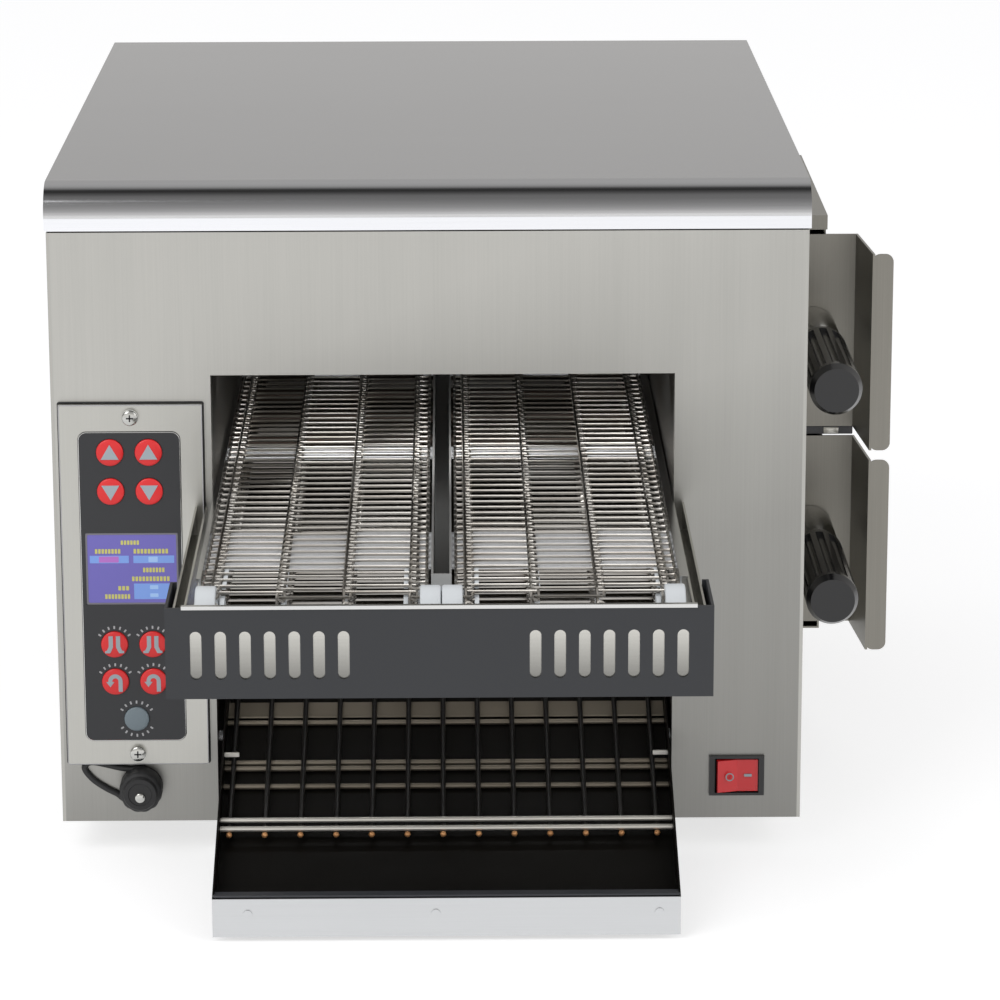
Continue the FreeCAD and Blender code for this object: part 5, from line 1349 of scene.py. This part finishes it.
@dataclass
class Outlet:
    """Tray, its lip, and the wire rack with its cross bars and weld spots.

    Fields: wires (their number), radii of wires and lower bars, slope and gauge of the
    tray's floor, insets of the outer wires, size, inset, run and rise of the ears, radius of
    the front bars, places of front and rear bars and of the strip behind the rack's front
    end, edge (how far the bars end from the tray's sides), and the front fold's depth, gauge
    and rise over the lip.
    """

    wires: int = 13
    wire: float = 1.5 * MM
    bar: float = 1.7 * MM
    slope: float = 78.5 / 224.0
    gauge: float = 1.0 * MM
    left_inset: float = 6.6 * MM
    right_inset: float = 10.3 * MM
    ear: tuple[float, float] = (9.0 * MM, 2.7 * MM)
    ear_inset: float = 5.6 * MM
    ear_run: float = 130.0 * MM
    ear_rise: float = 12.5 * MM
    front_bar: float = 1.6 * MM
    front_bars: tuple[float, ...] = (3.5 * MM, 11.1 * MM)
    rear_bars: tuple[float, ...] = (49.5 * MM, 65.7 * MM, 71.0 * MM, 108.0 * MM, 149.5 * MM)
    strip: tuple[float, float] = (113.0 * MM, 126.5 * MM)
    edge: float = 1.3 * MM
    fold: tuple[float, float, float] = (7.0 * MM, 1.2 * MM, 0.9 * MM)

    def floor(self, along: np.ndarray | float) -> np.ndarray | float:
        """Height of the tray floor's underside: its front level plus the slope times the run."""
        low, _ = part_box("landing_tray")
        return low.z + self.slope * (np.asarray(along) - low.y)

    def wires_across(self) -> np.ndarray:
        """Places of the wires from left to right, evenly spaced."""
        low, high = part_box("landing_tray")
        return np.linspace(low.x + self.left_inset, high.x - self.right_inset, self.wires)

    def rods(self, places: Iterable[float], radius: float, rise: float) -> Surface:
        """Cross bars over the tray's floor.

        Args:
            places: distances behind the rack's front end.
            radius: radius of the bars.
            rise: height of their middle over the floor.

        Returns:
            One round bar for each place.
        """
        low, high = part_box("landing_tray")
        front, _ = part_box("product_rack")
        bars = []
        for place in places:
            along = front.y + place
            level = float(self.floor(along)) + rise
            bars.append(tube(np.array([(low.x + self.edge, along, level),
                                       (high.x - self.edge, along, level)]), radius, 10))
        return joined(bars)

    def rack(self) -> None:
        """Long wires, bars, weld spots and the flat rear strip."""
        near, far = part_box("product_rack")
        cosine = math.cos(math.atan(self.slope))
        over = self.gauge + 0.3 * MM + (self.bar * 2 + self.wire * 0.8) / cosine
        along = np.array([near.y + 0.5 * MM, near.y + 2 * MM, far.y - 2 * MM, far.y - 0.5 * MM])
        level = self.floor(along) + over
        wires = joined(tube(np.stack([np.full(4, across), along, level], -1), self.wire, 12)
                       for across in self.wires_across())
        rack = wires.piece("rack_wires", RACK, "product_rack", "black_wire", 50.0)
        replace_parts(rack, "product_rack")
        rise = self.gauge + 0.2 * MM + self.bar / cosine
        above = over + (self.wire + self.front_bar * 0.7) / cosine
        self.rods(self.front_bars, self.front_bar, above).piece(
            "rack_front_bars", BAR, "product_rack", "bright_wire", 50.0)
        # The rear bars take the darker tan steel: painted shade.
        self.rods(self.rear_bars, self.bar, rise).piece(
            "rack_rear_bars", TAN, "product_rack", "bright_wire", 50.0)
        self.welds(near.y, over)
        self.rear_strip(near.y, rise)

    def welds(self, front: float, rise: float) -> None:
        """Copper-coloured spots beside the two front bars at every wire.

        Args:
            front: place of the rack's front end.
            rise: height of the wires over the floor.
        """
        spot = loft([facing(circle(radius * MM, 8), (0.0, 0.0, 0.0), depth * MM)
                     for radius, depth in ((0.9, 1.5), (1.7, 0.8), (1.9, 0.0), (1.5, -0.9),
                                           (0.6, -1.5))])
        places = []
        for place, step in zip(self.front_bars, (-2.3 * MM, 2.3 * MM)):
            along = front + place + step
            level = float(self.floor(along)) + rise + 0.6 * MM
            places += [(across, along, level) for across in self.wires_across()]
        spot.copies(places).piece("rack_welds", WELD, "product_rack", "bright_wire", 60.0)

    def rear_strip(self, front: float, rise: float) -> None:
        """Flat strip under the wires near the rear, with a bent-down front edge.

        Args:
            front: place of the rack's front end.
            rise: height of the bars over the floor.
        """
        low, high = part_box("landing_tray")
        near, far = front + self.strip[0], front + self.strip[1]
        along = np.array([near, near + 0.4 * MM, far, far, near + 0.4 * MM, near])
        lift = np.array([-0.2, 0.5, 0.5, 0.1, 0.1, -0.2]) * MM
        level = self.floor(along) + rise + lift
        ends = [np.stack([np.full(6, across), along, level], -1)
                for across in (high.x - self.edge, low.x + self.edge)]
        # The strip takes the darker tan steel: painted shade.
        loft(ends).piece("rack_rear_strip", TAN, "product_rack", "bright_wire")

    def folds(self) -> None:
        """Folded strip along the tray's front edge, and a bright ear on each wall."""
        low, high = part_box("landing_tray")
        _, lip_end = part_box("tray_lip")
        depth, gauge, rise = self.fold
        centre = ((low.x + high.x) / 2, low.y + 0.1 * MM, lip_end.z + rise)
        plate((high.x - low.x - 0.2 * MM, gauge), 0.3 * MM, centre, (depth, 0.3 * MM, 0.0),
              0.3 * MM).piece("tray_front_fold", FOLD, "landing_tray", "black_tray")
        along = low.y + self.ear_run
        level = float(self.floor(along)) + self.ear_rise
        joined(plate(self.ear, 0.4 * MM, (place, along, level), (1.2 * MM, 0.2 * MM, 0.0),
                     0.2 * MM)
               for place in (low.x + self.ear_inset, high.x - self.ear_inset)).piece(
            "tray_ears", BAR, "landing_tray", "bright_wire")

    def build(self) -> None:
        """Dress the tray and build its rack."""
        dress_nodes({TRAY: ["landing_tray"], LIP: ["tray_lip"], SLIDE: ["tray_pins"]})
        self.folds()
        self.rack()


@dataclass
class PullOuts:
    """Housing on the right side with its two drawers and handles.

    Fields: the gap plate's place in front of the housing, inset from the units' right faces
    and play; the catch's width and height and its inset from the plate's right edge; and the
    radius of the handles' sleeves.
    """

    plate_step: float = 5.0 * MM
    plate_inset: float = 17.0 * MM
    play: float = 0.5 * MM
    catch: tuple[float, float] = (9.5 * MM, 4.2 * MM)
    catch_inset: float = 14.0 * MM
    ferrule: float = 14.6 * MM

    def gap_plate(self) -> None:
        """Dark plate in the gap between the two units, with a bright catch on it."""
        house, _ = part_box("drawer_housing")
        upper, upper_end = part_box("upper_drawer")
        _, lower_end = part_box("lower_drawer")
        near = house.y - self.plate_step
        low, high = lower_end.z + self.play, upper.z - self.play
        left, right = house.x, upper_end.x - self.plate_inset
        level = (low + high) / 2
        plate((right - left, high - low), 0.5 * MM, ((left + right) / 2, near, level),
              (6.0 * MM, 0.4 * MM, 0.0), 0.3 * MM).piece(
            "unit_gap_plate", DARK, "cabinet", "dark_steel")
        wide, tall = self.catch
        plate((wide, min(tall, high - low)), 0.5 * MM, (right - self.catch_inset, near, level),
              (0.0, -1.0 * MM, -1.3 * MM), 0.4 * MM).piece(
            "unit_catch", BAR, "cabinet", "stainless")

    def ferrules(self) -> None:
        """Bright sleeve on each handle between its grip and the unit's face."""
        house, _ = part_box("drawer_housing")
        for side in ("upper", "lower"):
            centre = middle(f"{side}_grip")
            _, grip_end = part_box(f"{side}_grip")
            start = np.array([centre[0], grip_end.y + 0.4 * MM, centre[2]])
            reach = float(house.y - 7.6 * MM - start[1])
            turned([(self.ferrule, reach), (self.ferrule, 1.0 * MM),
                    (self.ferrule - 0.6 * MM, 0.0)], start, 40).piece(
                        f"{side}_handle_sleeve", BRIGHT, f"{side}_drawer", "stainless", 50.0)

    def build(self) -> None:
        """Dress the side units."""
        dress_nodes({UNIT: ["drawer_housing", "housing_cap", "upper_drawer", "lower_drawer"],
                     GRIP: ["upper_grip", "lower_grip"]})
        self.gap_plate()
        self.ferrules()


@dataclass
class Studio:
    """Pale floor, soft light and the camera.

    Fields: place, pitch, yaw and roll of the camera in metres and radians, its focal
    length in millimetres, the floor's size and tone, and what gloss shows from the rear horizon
    over the top to the front one: share of the half turn and brightness.
    """

    place: tuple[float, float, float] = (-0.01958, -2.56678, 0.8483)
    pitch: float = 0.25719
    yaw: float = 0.0119
    roll: float = -0.00204
    lens: float = 152.42
    floor_size: float = 14.0
    floor_tone: Colour = (0.62, 0.62, 0.62)
    gloss: tuple[tuple[float, float], ...] = (
        (0.0, 0.9), (0.058, 0.60), (0.113, 0.73), (0.225, 0.757), (0.30, 0.77), (0.365, 0.70),
        (0.42, 0.45), (0.465, 0.09), (0.51, 0.045), (0.57, 0.15), (0.63, 0.31), (0.70, 0.34),
        (0.78, 0.45), (0.86, 0.62), (0.93, 0.88), (1.0, 1.5))

    def camera(self) -> None:
        """Camera that looks ahead along its pitch and yaw, turned by its roll."""
        ahead = np.array([math.sin(self.yaw) * math.cos(self.pitch),
                          math.cos(self.yaw) * math.cos(self.pitch), -math.sin(self.pitch)])
        right = np.array([math.cos(self.yaw), -math.sin(self.yaw), 0.0])
        over = np.cross(right, ahead)
        cosine, sine = math.cos(self.roll), math.sin(self.roll)
        right, over = right * cosine + over * sine, over * cosine - right * sine
        data = bpy.data.cameras.new("camera")
        data.lens = self.lens
        data.sensor_width = 36.0
        data.clip_end = 50.0
        eye = linked("camera", data)
        eye.matrix_world = self.placement(right, over, -ahead, self.place)
        bpy.context.scene.camera = eye

    def placement(self, *columns: Sequence[float]) -> Matrix:
        """Placement from its three axes and its place."""
        turn = np.eye(4)
        turn[:3] = np.stack(columns, -1)
        return Matrix(turn.tolist())

    def lamp(self, name: str, place: Sequence[float], aim: Sequence[float],
             size: tuple[float, float], power: float) -> None:
        """Soft lamp with a flat face.

        Args:
            name: the lamp's name.
            place: where it stands.
            aim: the point that it faces.
            size: width and height.
            power: watts.
        """
        data = bpy.data.lights.new(name, "AREA")
        data.shape = "RECTANGLE"
        data.size, data.size_y = size
        data.energy = power
        back = unit(np.asarray(place, float) - np.asarray(aim, float))
        right = unit(np.cross((0.0, 0.0, 1.0), back))
        linked(name, data).matrix_world = self.placement(right, np.cross(back, right), back,
                                                         place)

    def rays(self, graph: Graph, *kinds: str) -> Signal:
        """One for rays of the named kinds, else zero."""
        path = graph.node("ShaderNodeLightPath")
        return sum(graph.out(path, f"Is {kind} Ray") for kind in kinds).held()

    def world(self) -> None:
        """White where it is seen, shades of grey in gloss, and a plain light."""
        world = bpy.data.worlds.new("studio")
        bpy.context.scene.world = world
        world.use_nodes = True
        graph = Graph(world.node_tree)
        parts = graph.split(graph.out(graph.node("ShaderNodeTexCoord"), "Generated"))
        turn = parts[2].bearing(parts[1]) / math.pi
        shades = graph.ramp(turn.held(), [(at, (share / 2, share / 2, share / 2))
                                          for at, share in self.gloss])
        mirrored = graph.times(shades, (2.0, 1.97, 1.93))
        plain = graph.mix(self.rays(graph, "Glossy"), (0.55, 0.55, 0.56), mirrored)
        colour = graph.mix(self.rays(graph, "Camera", "Transmission"), plain, (1.0, 1.0, 1.0))
        shade = graph.node("ShaderNodeBackground", {}, {"Color": colour, "Strength": 1.0})
        graph.node("ShaderNodeOutputWorld", {}, {0: graph.out(shade)})

    def floor(self) -> None:
        """Pale floor under the feet."""
        half = self.floor_size / 2
        corners = [(-half, -half, 0.0), (half, -half, 0.0), (half, half, 0.0),
                   (-half, half, 0.0)]
        mesh = bpy.data.meshes.new("floor")
        mesh.from_pydata(corners, [], [(0, 1, 2, 3)])
        material = bpy.data.materials.new("floor")
        material.use_nodes = True
        graph = Graph(material.node_tree)
        matt = graph.node("ShaderNodeBsdfDiffuse", {}, {"Color": self.floor_tone})
        light = graph.node("ShaderNodeEmission", {}, {
            "Color": graph.mix(self.rays(graph, "Camera", "Glossy", "Transmission"),
                               (0.0, 0.0, 0.0), self.floor_tone),
            "Strength": 1.0})
        both = graph.node("ShaderNodeAddShader", {}, {0: graph.out(matt), 1: graph.out(light)})
        graph.node("ShaderNodeOutputMaterial", {}, {0: graph.out(both)})
        mesh.materials.append(material)
        linked("floor", mesh)

    def build(self) -> None:
        """Set up the studio."""
        self.camera()
        self.world()
        self.floor()
        self.lamp("key", (-1.6, -2.0, 2.2), (0.0, 0.0, 0.2), (1.8, 1.8), 34.0)
        self.lamp("fill", (1.8, -1.6, 1.5), (0.0, 0.0, 0.2), (1.6, 1.6), 12.0)
        self.lamp("inside", (-0.024, -0.10, 0.285), (-0.024, -0.047, 0.216), (0.24, 0.03), 0.20)
        bpy.context.scene.view_settings.view_transform = "Standard"


def main() -> None:
    """Build the sub-assemblies in order."""
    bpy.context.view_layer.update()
    for part in (Studio(), Cabinet(), Conveyor(), ControlPanel(), PowerSwitch(), CappedPort(),
                 Outlet(), PullOuts()):
        part.build()
        LOG.info("%s done", type(part).__name__)


if __name__ == "__main__":
    logging.basicConfig(level=logging.INFO, format="%(message)s")
    main()
